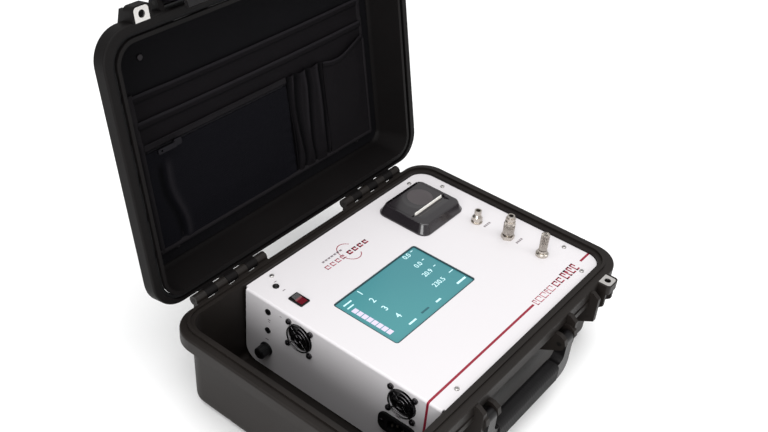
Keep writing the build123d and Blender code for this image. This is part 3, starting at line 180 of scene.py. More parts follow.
def metalFinish(name, tone, rough, brushed=(1.0, 1.0, 1.0), grain=0.25):
    m = Finish(name)
    lines = m.noise(1.0, 4.0, 0.6, m.stretched(*[700.0 * b for b in brushed]))
    cloud = m.noise(35.0, 3.0)
    color = m.blendColor(cloud * 0.5, paint(*tone), paint(*[t * 0.82 for t in tone]))
    return m.surface(color, rough + lines * grain * 0.5 + cloud * 0.06, lines, 0.00006,
                     0.25, Metallic=1.0)


def knurledNickel(name, middle, flutes):
    m = Finish(name)
    angle = m.node("Math", {"operation": "ARCTAN2"}, {0: m.y - middle[1], 1: m.x - middle[0]})
    rib = (angle * float(flutes)).sine()
    band = m.smooth((m.z * 900.0).sine(), -0.2, 0.9)
    # painted shade: the grooves between the knurl's ridges are painted darker than the ridges
    color = m.blendColor(m.smooth(rib, -1.0, 0.2), paint(120, 112, 104), paint(206, 199, 190))
    return m.surface(color, 0.2 + m.noise(300.0) * 0.18, rib + band * 0.2, 0.0005, 0.7,
                     Metallic=1.0)


panelPrint = {  # millimetres, on the white panel; the stripe stops beside the name
    "stripeY": -121.0, "stripeHalf": 1.5, "gapFrom": 81.0, "gapTo": 191.0,
    "topAbove": 106.8, "sideBelow": -123.6,
    "white": (206, 203, 205), "shade": (197, 194, 196), "crimson": (132, 22, 44),
}


def panelPaint():
    p = panelPrint
    m = Finish("panelPaint")
    peel = m.noise(1300.0, 2.0) + m.noise(420.0, 2.0) * 0.6
    haze = m.noise(7.0, 3.0)
    line = m.near(m.y, p["stripeY"] * mm, p["stripeHalf"] * mm)
    faces = (m.z > p["topAbove"] * mm).higher(m.x < p["sideBelow"] * mm)
    middle = (p["gapFrom"] + p["gapTo"]) / 2 * mm
    gap = m.near(m.x, middle, (p["gapTo"] - p["gapFrom"]) / 2 * mm)
    white = m.blendColor(haze * 0.35, paint(*p["white"]), paint(*p["shade"]))
    return m.surface(m.blendColor(line * faces * (1.0 - gap), white, paint(*p["crimson"])),
                     0.36 + haze * 0.12, peel, 0.00005, 0.3, Specular_IOR_Level=0.35)


screen = {
    "middle": (-3.3, 1.2), "size": (152.6, 93.3), "edge": 1.6, "glassTop": 108.0,
    "linePitch": 0.0006, "teal": (58, 114, 120), "tealLit": (64, 122, 126),
    "rim": (44, 72, 80),
}


def screenGlass():
    s = screen
    m = Finish("screenGlass")
    across = abs(m.x - s["middle"][0] * mm)
    along = abs(m.y - s["middle"][1] * mm)
    rim = (across > (s["size"][0] / 2 - s["edge"]) * mm).higher(
        along > (s["size"][1] / 2 - s["edge"]) * mm)
    # painted light: the screen is painted lighter towards its front-left corner, fading to the
    # plain teal at the back-right
    paintedLightSweep = m.smooth(m.x + m.y, -0.09, 0.09)
    lines = (m.y * (2 * pi / s["linePitch"])).sine() * 0.02
    teal = m.blendColor(paintedLightSweep + lines, paint(*s["tealLit"]), paint(*s["teal"]))
    shown = m.blendColor(rim, teal, paint(*s["rim"]))
    return m.surface(shown, 0.2 + m.noise(50.0) * 0.06, IOR=1.45, Emission_Color=shown,
                     Emission_Strength=0.3)


printerReflection = {  # the round painted reflection beside the slot, duller than the gloss around it, in millimetres
    "middle": (145.0, 93.5), "radius": 17.5, "edge": 1.6, "above": 119.5, "tone": (58, 52, 54),
}


def printerGloss():
    d, m = printerReflection, Finish("printerGloss")
    flat = m.node("CombineXYZ", {}, {0: m.x, 1: m.y, 2: 0.0})
    middle = (d["middle"][0] * mm, d["middle"][1] * mm, 0.0)
    far = m.node("VectorMath", {"operation": "DISTANCE"}, {0: flat, 1: middle}, out="Value")
    inside = 1.0 - m.smooth(far, (d["radius"] - d["edge"]) * mm, d["radius"] * mm)
    paintedReflection = inside * (m.z > d["above"] * mm)
    cloud = m.noise(20.0, 3.0)
    body = m.blendColor(cloud, paint(24, 21, 24), paint(34, 30, 33))
    # painted reflection: the disc is painted in a lighter tone over the black gloss, and made
    # rougher
    return m.surface(m.blendColor(paintedReflection, body, paint(*d["tone"])),
                     0.16 + paintedReflection * 0.24 + cloud * 0.06, m.noise(900.0), 0.00004, 0.2,
                     IOR=1.5, Coat_Weight=0.35, Coat_Roughness=0.1)


rockerSplit = (82.5, 82.9)  # where the red front half meets the black back half


def rockerFinish():
    m = Finish("rockerRed")
    back = m.smooth(m.y, rockerSplit[0] * mm, rockerSplit[1] * mm)
    shade = m.noise(200.0, 2.0) * 0.4
    red = m.blendColor(shade, paint(84, 8, 22), paint(108, 14, 30))
    return m.surface(m.blendColor(back, red, paint(14, 11, 13)), 0.24 + shade * 0.2,
                     m.noise(1500.0), 0.00004, 0.2, Coat_Weight=0.3, Coat_Roughness=0.15)


# painted shade: the near-black colour painted into creases, and the painted highlight colour for
# ridges
clothShade = {"crease": paint(1, 1, 2), "ridge": paint(34, 32, 35)}


def clothFinish(name, dark, light, pitch, openings=0.0):
    # the weave follows the cloth's own map, in metres; the shading attribute paints shade into
    # creases above 0 and paints a highlight onto ridges below 0
    m = Finish(name)
    warp = m.node("UVMap", {"uv_map": "weave"})
    u = m.node("SeparateXYZ", {}, {0: warp})
    v = u.also("Y")
    turn = 2 * pi / pitch
    over = (u * turn).sine() * (v * turn).sine()
    rows = abs((u * (turn / 2)).sine()) * 0.5 + abs((v * (turn / 2)).sine()) * 0.5
    slub = m.noise(30.0, 4.0, 0.6)
    thread = over * 0.5 + 0.5
    hole = (1.0 - m.smooth(thread, 0.5, 0.8)) * openings
    shade = (thread * 0.35 + rows * 0.2 + slub * 0.5) * (1.0 - hole)
    paintedShading = m.node("Attribute", {"attribute_name": "paintedShading"}).also("Fac")
    cloth = m.blendColor(shade, paint(*dark), paint(*light))
    paintedHighlight = (0.0 - paintedShading).higher(0.0)
    cloth = m.blendColor(paintedShading * 0.92, cloth, clothShade["crease"])
    cloth = m.blendColor(paintedHighlight, cloth, clothShade["ridge"])
    return m.surface(cloth, 0.66 + slub * 0.2, thread + rows, 0.0003, 0.6,
                     Specular_IOR_Level=0.05)


boardWeave = 0.0009  # metres from thread to thread


def feltBoard():
    m = Finish("organiserCloth")
    turn = 2 * pi / boardWeave
    weave = (m.x * turn).sine() * (m.z * turn).sine()
    slub = m.noise(26.0, 5.0, 0.65)
    return m.surface(m.blendColor(slub * 0.8 + weave * 0.1, paint(6, 6, 8), paint(16, 15, 17)),
                     0.66 + slub * 0.2, weave, 0.0002, 0.4, Specular_IOR_Level=0.05)


def paperFinish():
    m = Finish("paperWhite")
    fibre = m.noise(700.0, 5.0, 0.7)
    return m.surface(m.blendColor(fibre, paint(236, 234, 230), paint(222, 220, 214)),
                     0.7 + fibre * 0.1, fibre, 0.00004, 0.4)


cellPitch = 0.0213  # metres from one battery cell to the next


def batteryFinish():
    m = Finish("batteryWrap")
    seam = m.near((m.x * (2 * pi / cellPitch)).sine(), -1.0, 0.06)
    crease = m.noise(80.0, 5.0, 0.7)
    blue = m.blendColor(crease, paint(28, 54, 96), paint(40, 74, 120))
    return m.surface(m.blendColor(seam, blue, paint(18, 30, 52)), 0.28 + crease * 0.14, crease,
                     0.0004, 0.4)


def circuitFinish():
    m = Finish("boardGreen")
    cell = m.cells(160.0)
    track = m.smooth(m.noise(240.0, 1.0), 0.52, 0.54)
    pads = 1.0 - m.smooth(cell, 0.12, 0.16)
    green = m.blendColor(track, paint(18, 62, 38), paint(28, 92, 54))
    return m.surface(m.blendColor(pads, green, paint(190, 172, 120)), 0.34 + pads * 0.1,
                     track + pads, 0.00005, 0.5, Coat_Weight=0.4, Coat_Roughness=0.2)


ringPitch = 0.002  # metres between the hose's rings


def hoseFinish():
    m = Finish("hoseClear")
    ring = (m.z * (2 * pi / ringPitch)).sine()
    cloud = m.noise(60.0, 3.0)
    return m.surface(m.blendColor(cloud, paint(196, 204, 208), paint(170, 180, 186)),
                     0.26 + cloud * 0.1, ring, 0.00005, 0.4)


def inkFinish(name, tone, glow=0.0):
    m = Finish(name)
    speck = m.noise(900.0, 3.0)
    color = m.blendColor(speck * 0.35, paint(*tone), paint(*[t * 0.88 for t in tone]))
    return m.surface(color, 0.42 + speck * 0.1, speck, 0.00002, 0.2, Emission_Color=color,
                     Emission_Strength=glow)


finishes = {name: mouldedPlastic(name) for name in mouldings}
finishes.update({
    "sealRubber": rubberFinish("sealRubber", (10, 10, 11)),
    "gripRubber": rubberFinish("gripRubber", (12, 11, 12), 0.004),
    "rollerRubber": rubberFinish("rollerRubber", (34, 34, 36)),
    "stainless": metalFinish("stainless", (232, 229, 226), 0.2, (0.3, 2.0, 2.0)),
    "pinSteel": metalFinish("pinSteel", (40, 39, 38), 0.42, (0.05, 1.5, 1.5)),
    "screwSteel": metalFinish("screwSteel", (188, 186, 184), 0.24),
    "trayMetal": metalFinish("trayMetal", (198, 200, 204), 0.34, (0.2, 2.0, 2.0)),
    "nickel": metalFinish("nickel", (206, 199, 190), 0.18, (1.0, 1.0, 0.1)),
    "zipMetal": metalFinish("zipMetal", (34, 33, 36), 0.34),
    "blackScrew": metalFinish("blackScrew", (46, 44, 46), 0.3),
    "guardWire": metalFinish("guardWire", (92, 90, 92), 0.13),
    "knurledKnob": knurledNickel("knurledKnob", (0.1685, -0.079), 24),
    "knurledSleeve": knurledNickel("knurledSleeve", (0.1685, -0.0285), 30),
    "panelPaint": panelPaint(),
    "screenGlass": screenGlass(),
    "printerGloss": printerGloss(),
    "rockerRed": rockerFinish(),
    "organiserCloth": feltBoard(),
    "pocketNylon": clothFinish("pocketNylon", (6, 5, 7), (19, 17, 19), 0.0011),
    "hemTape": clothFinish("hemTape", (11, 10, 12), (28, 26, 28), 0.0016),
    "pocketMesh": clothFinish("pocketMesh", (4, 4, 7), (17, 16, 21), 0.0026, 0.9),
    "paperWhite": paperFinish(),
    "batteryWrap": batteryFinish(),
    "boardGreen": circuitFinish(),
    "hoseClear": hoseFinish(),
    "inkWhite": inkFinish("inkWhite", (186, 222, 226), 0.22),
    "inkLavender": inkFinish("inkLavender", (200, 192, 214), 0.15),
    "inkDeep": inkFinish("inkDeep", (30, 84, 92), 0.05),
    "inkCrimson": inkFinish("inkCrimson", (140, 30, 52)),
    "inkRose": inkFinish("inkRose", (166, 84, 96)),
    "inkGrey": inkFinish("inkGrey", (120, 112, 116)),
})

nodeFinish = {
    "casePlastic": ["base_shell"], "lidPlastic": ["lid_shell"], "sealRubber": ["lid_seal"],
    "pinSteel": ["hinge_pins", "handle_pins", "latch_pins"],
    "stainless": ["padlock_plates_base", "padlock_plates_lid", "tear_bar"],
    "latchPlastic": ["pressure_valve", "latch_frame_right", "latch_frame_left",
                     "latch_lever_right", "latch_lever_left"],
    "handlePlastic": ["handle_frame"], "gripRubber": ["handle_grip"],
    "panelPaint": ["front_panel"], "screwSteel": ["panel_screws"],
    "trayMetal": ["chassis_tray", "power_supply", "sensor_bench"],
    "bezelBlack": ["display_frame"], "screenGlass": ["display_glass"],
    "moduleBlack": ["display_module", "printer_mechanism", "gas_pump", "oxygen_cell"],
    "printerGloss": ["printer_housing", "printer_door"], "rollerRubber": ["platen_roller"],
    "paperWhite": ["paper_roll"], "switchBlack": ["rocker_housing", "charge_lamp"],
    "rockerRed": ["rocker"],
    "nickel": ["sample_port", "outlet_port", "flow_valve_body", "port_nuts", "inlet_blades"],
    "knurledKnob": ["flow_knob"], "knurledSleeve": ["outlet_sleeve"],
    "fanPlastic": ["fan_frames", "fan_rotor_rear", "fan_rotor_front"],
    "guardWire": ["fan_guards"], "blackScrew": ["side_screws", "organiser_screws"],
    "inletPlastic": ["power_inlet", "fuse_holder", "fuse_cap", "signal_sockets"],
    "batteryWrap": ["battery_pack"], "boardGreen": ["main_board"], "hoseClear": ["gas_tubes"],
    "organiserCloth": ["organiser_board"], "zipMetal": ["zip_slider"],
    "pocketNylon": ["document_pockets", "pen_pockets", "card_pocket"],
    "pocketMesh": ["zip_pocket"],
}
for finishName, nodes in nodeFinish.items():
    for node in nodes:
        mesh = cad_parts[node].data
        mesh.materials.clear()
        mesh.materials.append(finishes[finishName])
print("finishes on", sum(len(n) for n in nodeFinish.values()), "nodes")


def pieceFrom(bm, name, finish, body, place, smooth=True):
    bmesh.ops.transform(bm, matrix=place, verts=bm.verts)
    for face in bm.faces:
        face.smooth = smooth
    mesh = bpy.data.meshes.new(name)
    bm.to_mesh(mesh)
    bm.free()
    mesh.materials.append(finishes[finish])
    piece = bpy.data.objects.new(name, mesh)
    bpy.context.scene.collection.objects.link(piece)
    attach(piece, body)
    return piece


def addPlate(bm, middle, size):  # a thin block
    made = bmesh.ops.create_cube(bm, size=1.0)["verts"]
    bmesh.ops.scale(bm, vec=size, verts=made)
    bmesh.ops.translate(bm, vec=middle, verts=made)
    return made


panelTop = 110.0


def inkBlocks(name, blocks, finish, z=panelTop, thick=0.05):
    # each block is left, front, width, depth in millimetres
    bm = bmesh.new()
    for left, front, width, depth in blocks:
        addPlate(bm, (left + width / 2, front + depth / 2, z + thick / 2), (width, depth, thick))
    pieceFrom(bm, name, finish, "base", Matrix.Scale(mm, 4), smooth=False)


def addNumber(bm, text, where, size, align="CENTER", thick=0.02):
    curve = bpy.data.curves.new("number", "FONT")
    curve.body, curve.size, curve.align_x, curve.align_y = text, size, align, "CENTER"
    curve.extrude, curve.offset = thick, size * 0.008
    holder = bpy.data.objects.new("number", curve)
    bpy.context.scene.collection.objects.link(holder)
    bpy.context.view_layer.update()
    mesh = bpy.data.meshes.new_from_object(holder)
    mesh.transform(Matrix.Translation(where))
    bm.from_mesh(mesh)
    bpy.data.objects.remove(holder)
    bpy.data.curves.remove(curve)
    bpy.data.meshes.remove(mesh)


screenFace = {  # channel numbers, readings, a level bar and key labels, in millimetres
    "channels": [("1", -40.0, 39.5), ("2", -40.0, 20.8), ("3", -40.6, 2.2), ("4", -40.0, -16.6)],
    "readings": [("0.0", 57.0, 41.4), ("0.0", 54.0, 21.6), ("20.9", 52.0, 4.4),
                 ("230.5", 50.0, -15.6)],
    "channelSize": 12.0, "readingSize": 9.5,
    "bar": (-71.5, -29.0, 7.6, 57.0), "barTicks": 8,
    "labels": [(-71.0, 37.6, 14.0, 2.0), (-71.5, 31.4, 11.0, 1.8), (-43.5, -35.6, 13.0, 2.4),
               (8.0, -35.4, 9.0, 2.4), (52.0, -34.4, 17.0, 2.8), (61.0, 42.8, 4.0, 1.2),
               (58.0, 23.0, 4.0, 1.2), (58.5, 6.0, 4.0, 1.2), (62.0, -14.6, 8.0, 1.2)],
    "darkLabels": [(-19.0, -34.6, 14.0, 2.6)],
}


def buildScreenFace():
    s, z = screenFace, screen["glassTop"]
    bm = bmesh.new()
    for text, x, y in s["channels"]:
        addNumber(bm, text, (x, y, z + 0.03), s["channelSize"])
    for text, x, y in s["readings"]:
        addNumber(bm, text, (x, y, z + 0.03), s["readingSize"], "RIGHT")
    pieceFrom(bm, "screen_numbers", "inkWhite", "base", Matrix.Scale(mm, 4))
    inkBlocks("screen_labels", s["labels"], "inkWhite", z)
    inkBlocks("screen_dark_labels", s["darkLabels"], "inkDeep", z)
    left, front, width, depth = s["bar"]
    step = depth / s["barTicks"]
    ticks = [(left, front + i * step, width, step * 0.86) for i in range(s["barTicks"])]
    inkBlocks("screen_bar", ticks, "inkLavender", z)


buildScreenFace()


badge = {  # plain blocks where the panel has its name, badge and small labels, in millimetres
    "nameStart": 84.0, "middleY": -121.0, "thinTall": 9.6, "boldTall": 12.8,
    "letterGap": 2.1, "wordGap": 1.6,
    "thinWords": [4.4, 8.0, 8.0, 3.6, 8.0], "darkWords": [7.6, 7.6],
    "boldWords": [6.6, 4.0, 6.6, 6.6],
    "ring": {"middle": (8.0, 97.0), "radii": (13.0, 16.25), "dashes": 26, "from": 40, "step": 11,
             "dash": (2.6, 1.1, 0.05)},
    "greyLabels": [(166.0 + 3.6 * i, front, 2.6, 3.0) for i in range(4) for front in (3.6, -45.0)]
    + [(-100.5, 104.4, 4.4, 1.2), (-96.0, 121.8, 3.4, 1.2)],
}


def strokes(left, front, width, tall, line):  # an open-sided box, as if drawn with a pen
    return [(left, front, width, line), (left, front + tall - line, width, line),
            (left, front, line, tall), (left + width - line, front + tall / 2, line, tall / 2)]


def buildPanelPrint():
    b, x = badge, badge["nameStart"]
    for word, tall, line, ink in (("thinWords", b["thinTall"], 1.2, "inkRose"),
                                  ("darkWords", b["thinTall"], 1.8, "inkCrimson"),
                                  ("boldWords", b["boldTall"], 2.1, "inkCrimson")):
        blocks = []
        for width in b[word]:
            blocks += strokes(x, b["middleY"] - tall / 2, width, tall, line)
            x += width + b["letterGap"]
        x += b["wordGap"]
        inkBlocks("panel_" + word, blocks, ink)
    inkBlocks("panel_labels", b["greyLabels"], "inkGrey")
    small = [(-31.0 + i * 5.2, 104.5, 3.8, 2.6) for i in range(7)]
    large = [(-36.0 + i * 9.2, 92.0, 6.4, 6.6) for i in range(4)]
    inkBlocks("badge_small", small, "inkGrey")
    inkBlocks("badge_thin", [s for q in large for s in strokes(*q, 1.4)], "inkRose")
    bold = [(4.0 + i * 9.6, 92.0, 7.0, 7.0) for i in range(4)]
    inkBlocks("badge_bold", [s for q in bold for s in strokes(*q, 2.2)], "inkCrimson")
    bm = bmesh.new()  # a plain open ring beside the badge
    r = b["ring"]
    for i in range(r["dashes"]):
        turn = radians(r["from"] + i * r["step"])
        made = addPlate(bm, (0, 0, panelTop + r["dash"][2] / 2), r["dash"])
        bmesh.ops.rotate(bm, cent=(0, 0, 0), matrix=Matrix.Rotation(turn + pi / 2, 3, "Z"),
                         verts=made)
        shift = (r["middle"][0] + r["radii"][0] * cos(turn),
                 r["middle"][1] + r["radii"][1] * sin(turn), 0)
        bmesh.ops.translate(bm, vec=shift, verts=made)
    pieceFrom(bm, "badge_ring", "inkCrimson", "base", Matrix.Scale(mm, 4),
              smooth=False)


sideLabels = {  # each is y, z, width, height on the side plate, in millimetres
    "x": -126.025, "thick": 0.05,
    "labels": [(101.5, 84.5, 4.0, 1.3), (101.5, 81.6, 3.0, 1.0), (84.0, 100.2, 3.0, 1.0),
               (-71.0, 101.4, 3.0, 1.0), (104.5, 53.0, 5.0, 1.2), (-87.5, 63.5, 6.0, 1.2)],
}


def buildSideLabels():
    bm = bmesh.new()
    for y, z, width, tall in sideLabels["labels"]:
        addPlate(bm, (sideLabels["x"], y, z), (sideLabels["thick"], width, tall))
    pieceFrom(bm, "side_labels", "inkGrey", "base", Matrix.Scale(mm, 4),
              smooth=False)


buildPanelPrint()
buildSideLabels()


# the torn end of the roll, standing in the printer's slot
paper = {
    "middle": 137.0, "width": 56.0, "y": 74.3, "thick": 1.0, "low": 118.6, "high": 125.6,
    "tooth": 0.3, "cuts": 55,
}


def buildPaper():
    p = paper
    bm = bmesh.new()
    addPlate(bm, (p["middle"], p["y"], (p["low"] + p["high"]) / 2),
             (p["width"], p["thick"], p["high"] - p["low"]))
    edges = [e for e in bm.edges if abs((e.verts[0].co - e.verts[1].co).x) > 1]
    bmesh.ops.subdivide_edges(bm, edges=edges, cuts=p["cuts"], use_grid_fill=True)
    for vert in bm.verts:
        if vert.co.z > p["high"] - 0.1:  # teeth left by the tear bar
            vert.co.z += p["tooth"] * ((int(vert.co.x) % 2) - 0.5)
    pieceFrom(bm, "paper_end", "paperWhite", "base", Matrix.Scale(mm, 4),
              smooth=False)


buildPaper()
print("panel print, screen and paper made")


# the organiser's cloth is shaped flat on the board, then turned with the open lid
lidHinge = Vector((0.0, 161.8, 114.2))
lidOpen = radians(-101)
boardFace = 158.4
lidTurn = (Matrix.Scale(mm, 4) @ Matrix.Translation(lidHinge) @ Matrix.Rotation(lidOpen, 4, "X")
           @ Matrix.Translation(-lidHinge))
# across is x, up runs towards the lid's opening edge, and height leaves the board
clothPlace = lidTurn @ Matrix.Translation((0, 0, boardFace)) @ Matrix.Rotation(pi, 4, "X")


def ease(value, low, high):
    t = min(1.0, max(0.0, (value - low) / (high - low)))
    return t * t * (3 - 2 * t)


def crease(u, v, scale, seed=0.0):
    return noise.noise(Vector((u / scale, v / scale, seed)))


def clothSheet(name, cells, flat, shape, finish, thick=0.7):
    # shape turns shares across and up into millimetres across, up and off the board, and painted
    # shading: shade above 0, highlight below 0
    bm = bmesh.new()
    bmesh.ops.create_grid(bm, x_segments=cells[0], y_segments=cells[1], size=0.5)
    weave = bm.loops.layers.uv.new("weave")
    for face in bm.faces:
        for loop in face.loops:
            across, up = loop.vert.co.x + 0.5, loop.vert.co.y + 0.5
            loop[weave].uv = (across * flat[0] * mm, up * flat[1] * mm)
    paintedShading = bm.verts.layers.float.new("paintedShading")
    for vert in bm.verts:
        u, v, h, vert[paintedShading] = shape(vert.co.x + 0.5, vert.co.y + 0.5)
        vert.co = (u, v, h)
    piece = pieceFrom(bm, name, finish, "lid", clothPlace)
    wall = piece.modifiers.new("thickness", "SOLIDIFY")
    wall.thickness, wall.offset = thick * mm, -1.0
    return piece


pockets = {  # left, right, bottom, top, in millimetres on the board
    "rear": (-181.5, 183.5, -112.0, 72.0),
    "front": (-180.5, 182.5, -112.0, 43.0),
    "zip": (-179.5, 38.0, -112.0, 17.0),
    "pens": (40.0, 101.4, -112.0, 16.0),
    "card": (104.0, 181.5, -112.0, 25.0),
}
document = {  # millimetres, apart from the shares ends, dark and light; dark sets the painted shade under the hem and light the painted highlight along the top
    "bases": {"rear": 1.4, "front": 3.0}, "gapes": {"rear": 1.0, "front": 0.9},
    "seeds": {"rear": 1.0, "front": 4.0}, "cells": (120, 60), "crowd": 1.7,
    "gapeZone": 34.0, "ends": 0.18, "sag": 1.4, "ripple": 0.35, "rippleSize": 42.0,
    "hem": 8.0, "hemThick": 0.9, "hemSlope": 0.8, "shadow": (3.0, 1.0, 0.6), "dark": 0.9,
    "rim": (3.6, 2.6), "light": 0.7,
}


def sewn(share, margin):  # 0 at the two ends, 1 between
    return ease(share, 0.0, margin) * ease(1.0 - share, 0.0, margin)


def documentShape(edge, base, gape, seed):
    left, right, bottom, top = edge
    d = document
    hemFoot = top - d["hem"]

    def shape(a, b):
        b = 1 - (1 - b) ** d["crowd"]  # closer rows near the hem
        u, v = left + a * (right - left), bottom + b * (top - bottom)
        lift = ease(v, top - d["gapeZone"], top) * sewn(a, d["ends"])
        h = base + gape * lift * (0.75 + 0.25 * sin(5.2 * a + seed))
        h += d["hemThick"] * ease(v, hemFoot - d["hemSlope"], hemFoot)
        h += d["ripple"] * crease(u, v * 2.2, d["rippleSize"], seed) * ease(v, bottom, bottom + 30)
        # painted shade in a band under the hem, and a painted highlight along the pocket's top
        # edge
        start, full, end = d["shadow"]
        paintedShading = d["dark"] * ease(v, hemFoot - start, hemFoot - full)
        paintedShading *= 1 - ease(v, hemFoot - full, hemFoot + end)
        paintedShading -= d["light"] * ease(v, top - d["rim"][0], top - d["rim"][1])
        return u, v - d["sag"] * lift * sin(pi * a), h, paintedShading
    return shape


def buildDocumentPockets(tapes):
    d = document
    for name in ("rear", "front"):
        left, right, bottom, top = pockets[name]
        flat = (right - left, top - bottom)
        shape = documentShape(pockets[name], d["bases"][name], d["gapes"][name], d["seeds"][name])
        piece = clothSheet("document_pocket_" + name, d["cells"], flat, shape, "pocketNylon")
        front = name == "front"
        if front:
            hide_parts("document_pockets")


zipBand = {  # millimetres, apart from the share ends
    "tapeTop": 9.6, "tapeLow": 6.4, "tapeBeyond": 2.5, "tapeUnder": 0.75, "low": 4.9,
    "belly": 2.6, "ends": 0.22, "dip": 2.4, "dipWidth": 4.6, "rise": 1.5, "riseWidth": 5.0,
    "riseBeyond": 8.0, "ridgeLight": 0.45, "gather": 0.4, "ripple": 0.5, "rippleSize": 26.0,
    "headerAbove": 0.6, "headerLift": 0.8, "headerRipple": 0.3, "leastFlat": 10.0,
    "toothPitch": 1.6, "toothMargin": 4.0, "tooth": (0.8, 1.2, 1.1), "toothShift": (0.4, 0.55),
    "toothAbove": 0.15,
}


def zipSurface(u, v):
    z = zipBand
    left, right, bottom, top = pockets["zip"]
    a, b = (u - left) / (right - left), (v - bottom) / (top - bottom)
    belly = z["belly"] * sewn(a, z["ends"]) * ease(b, 0.0, 0.3) * ease(1.0 - b, 0.0, 0.5)
    line = left + 13 + 17 * (1 - b) ** 1.3 + 2.5 * sin(9 * b)  # the gathered left side
    reach = ease(1.0 - b, 0.16, 0.3) * ease(b, -0.02, 0.06)
    dip = exp(-(((u - line) / z["dipWidth"]) ** 2)) * reach
    rise = exp(-(((u - line - z["riseBeyond"]) / z["riseWidth"]) ** 2)) * reach
    gather = z["gather"] * sin((v + 6 * a) / 2.3) * ease(a, 0.93, 0.97)  # pleats at the right
    height = z["low"] + belly + z["rise"] * rise - z["dip"] * dip + gather
    height += z["ripple"] * crease(u, v, z["rippleSize"], 7.0) * sewn(b, 0.15)
    # the second value is painted shading: shade in the dip, and a painted highlight on the rise
    # beside it
    return height, dip - z["ridgeLight"] * rise


def zipHeight(u, v):
    return zipSurface(u, v)[0]


def buildZipPocket():
    left, right, bottom, top = pockets["zip"]
    z = zipBand
    tapeHigh = z["tapeTop"] - z["tapeLow"] + 2 * z["tapeBeyond"]

    def panel(a, b):
        u, v = left + a * (right - left), bottom + b * (z["tapeLow"] - bottom)
        return (u, v, *zipSurface(u, v))

    def header(a, b):
        u, v = left + a * (right - left), z["tapeTop"] + b * (top - z["tapeTop"])
        lift = z["headerLift"] * ease(v, top - 4, top) * sewn(a, 0.1)
        ripple = z["headerRipple"] * crease(u, v, 30, 3.0)
        return u, v, zipHeight(u, v) + z["headerAbove"] + lift + ripple, 0.0

    def tape(a, b):
        u, v = left + a * (right - left), z["tapeLow"] - z["tapeBeyond"] + b * tapeHigh
        # painted shade: the tape under the teeth is darkened half way towards the crease shade
        return u, v, zipHeight(u, v) - z["tapeUnder"], 0.5

    flatPanel = (right - left, z["tapeLow"] - bottom)
    flatHeader = (right - left, top - z["tapeTop"])
    mesh = clothSheet("zip_pocket_mesh", (110, 70), flatPanel, panel, "pocketMesh",
                      0.5)
    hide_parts("zip_pocket")
    band = clothSheet("zip_pocket_header", (110, 8), flatHeader, header, "hemTape", 0.8)
    under = clothSheet("zip_tape", (110, 4), (right - left, 8), tape, "hemTape", 0.5)
    bm = bmesh.new()  # the two rows of teeth
    count = int((right - left - 2 * z["toothMargin"]) / z["toothPitch"])
    for i in range(count):
        u = left + z["toothMargin"] + i * z["toothPitch"]
        v = (z["tapeLow"] + z["tapeTop"]) / 2
        for side in (-1, 1):
            middle = (u + side * z["toothShift"][0], v + side * z["toothShift"][1],
                      zipHeight(u, v) + z["toothAbove"])
            addPlate(bm, middle, z["tooth"])
    teeth = pieceFrom(bm, "zip_teeth", "zipMetal", "lid", clothPlace)


pens = {  # each pleat is its share across, its sway and its width, in millimetres
    "pleats": ((0.03, 1.5, 3.4), (0.24, 3.2, 4.6), (0.56, 2.6, 3.8), (0.93, 1.4, 3.4)),
    "height": 8.2, "depth": 4.4, "foot": 2.6, "cells": (90, 60), "fullness": 1.3,
    "besideShift": 7.5, "besideWidth": 2.6, "besideRise": 0.8, "besideLight": 0.4,
    "darkAbove": 0.15, "rim": (5.6, 5.0, 0.5), "ripple": 0.4, "rippleSize": 24.0, "scallop": 1.2,
}


def penShape(a, b):
    p = pens
    left, right, bottom, top = pockets["pens"]
    u, v = left + a * (right - left), bottom + b * (top - bottom)
    h, paintedShading = p["height"], 0.0
    for i, (share, sway, width) in enumerate(p["pleats"]):
        line = left + share * (right - left) + sway * sin(4.6 * b + 1.7 * i) * sewn(b, 0.2)
        near = exp(-(((u - line) / (width * (0.6 + 0.5 * b))) ** 2))
        h -= p["depth"] * near * (0.55 + 0.45 * ease(b, 0.0, 0.25))
        beside = exp(-(((u - line + p["besideShift"]) / p["besideWidth"]) ** 2))
        beside *= ease(b, 0.2, 0.5)
        h += p["besideRise"] * beside
        # painted shade in each pleat, and a painted highlight on the rise beside it
        paintedShading = max(paintedShading, near) if near > p["darkAbove"] else paintedShading - p["besideLight"] * beside
    h -= p["foot"] * (1 - ease(b, 0.0, 0.12))
    h += p["rim"][2] * ease(v, top - p["rim"][0], top - p["rim"][1])
    h += p["ripple"] * crease(u * 2, v, p["rippleSize"], 9.0)
    return u, v - p["scallop"] * cos(6 * pi * a) * ease(b, 0.6, 1.0), h, paintedShading


card = {  # millimetres; the rim climbs from its low end at the left to the pocket's top
    "lowRim": 11.5, "curl": 2.0, "crowd": 1.4, "height": 5.2, "belly": 2.4, "hem": 0.9,
    "hemZone": (6.6, 6.0), "ripple": 0.5, "rippleSize": 30.0, "gape": 0.7, "cells": (50, 60),
    "fullness": 1.05, "shadow": (8.5, 7.0, 5.6), "dark": 0.7, "edge": (3.0, 2.0), "light": 0.5,
}


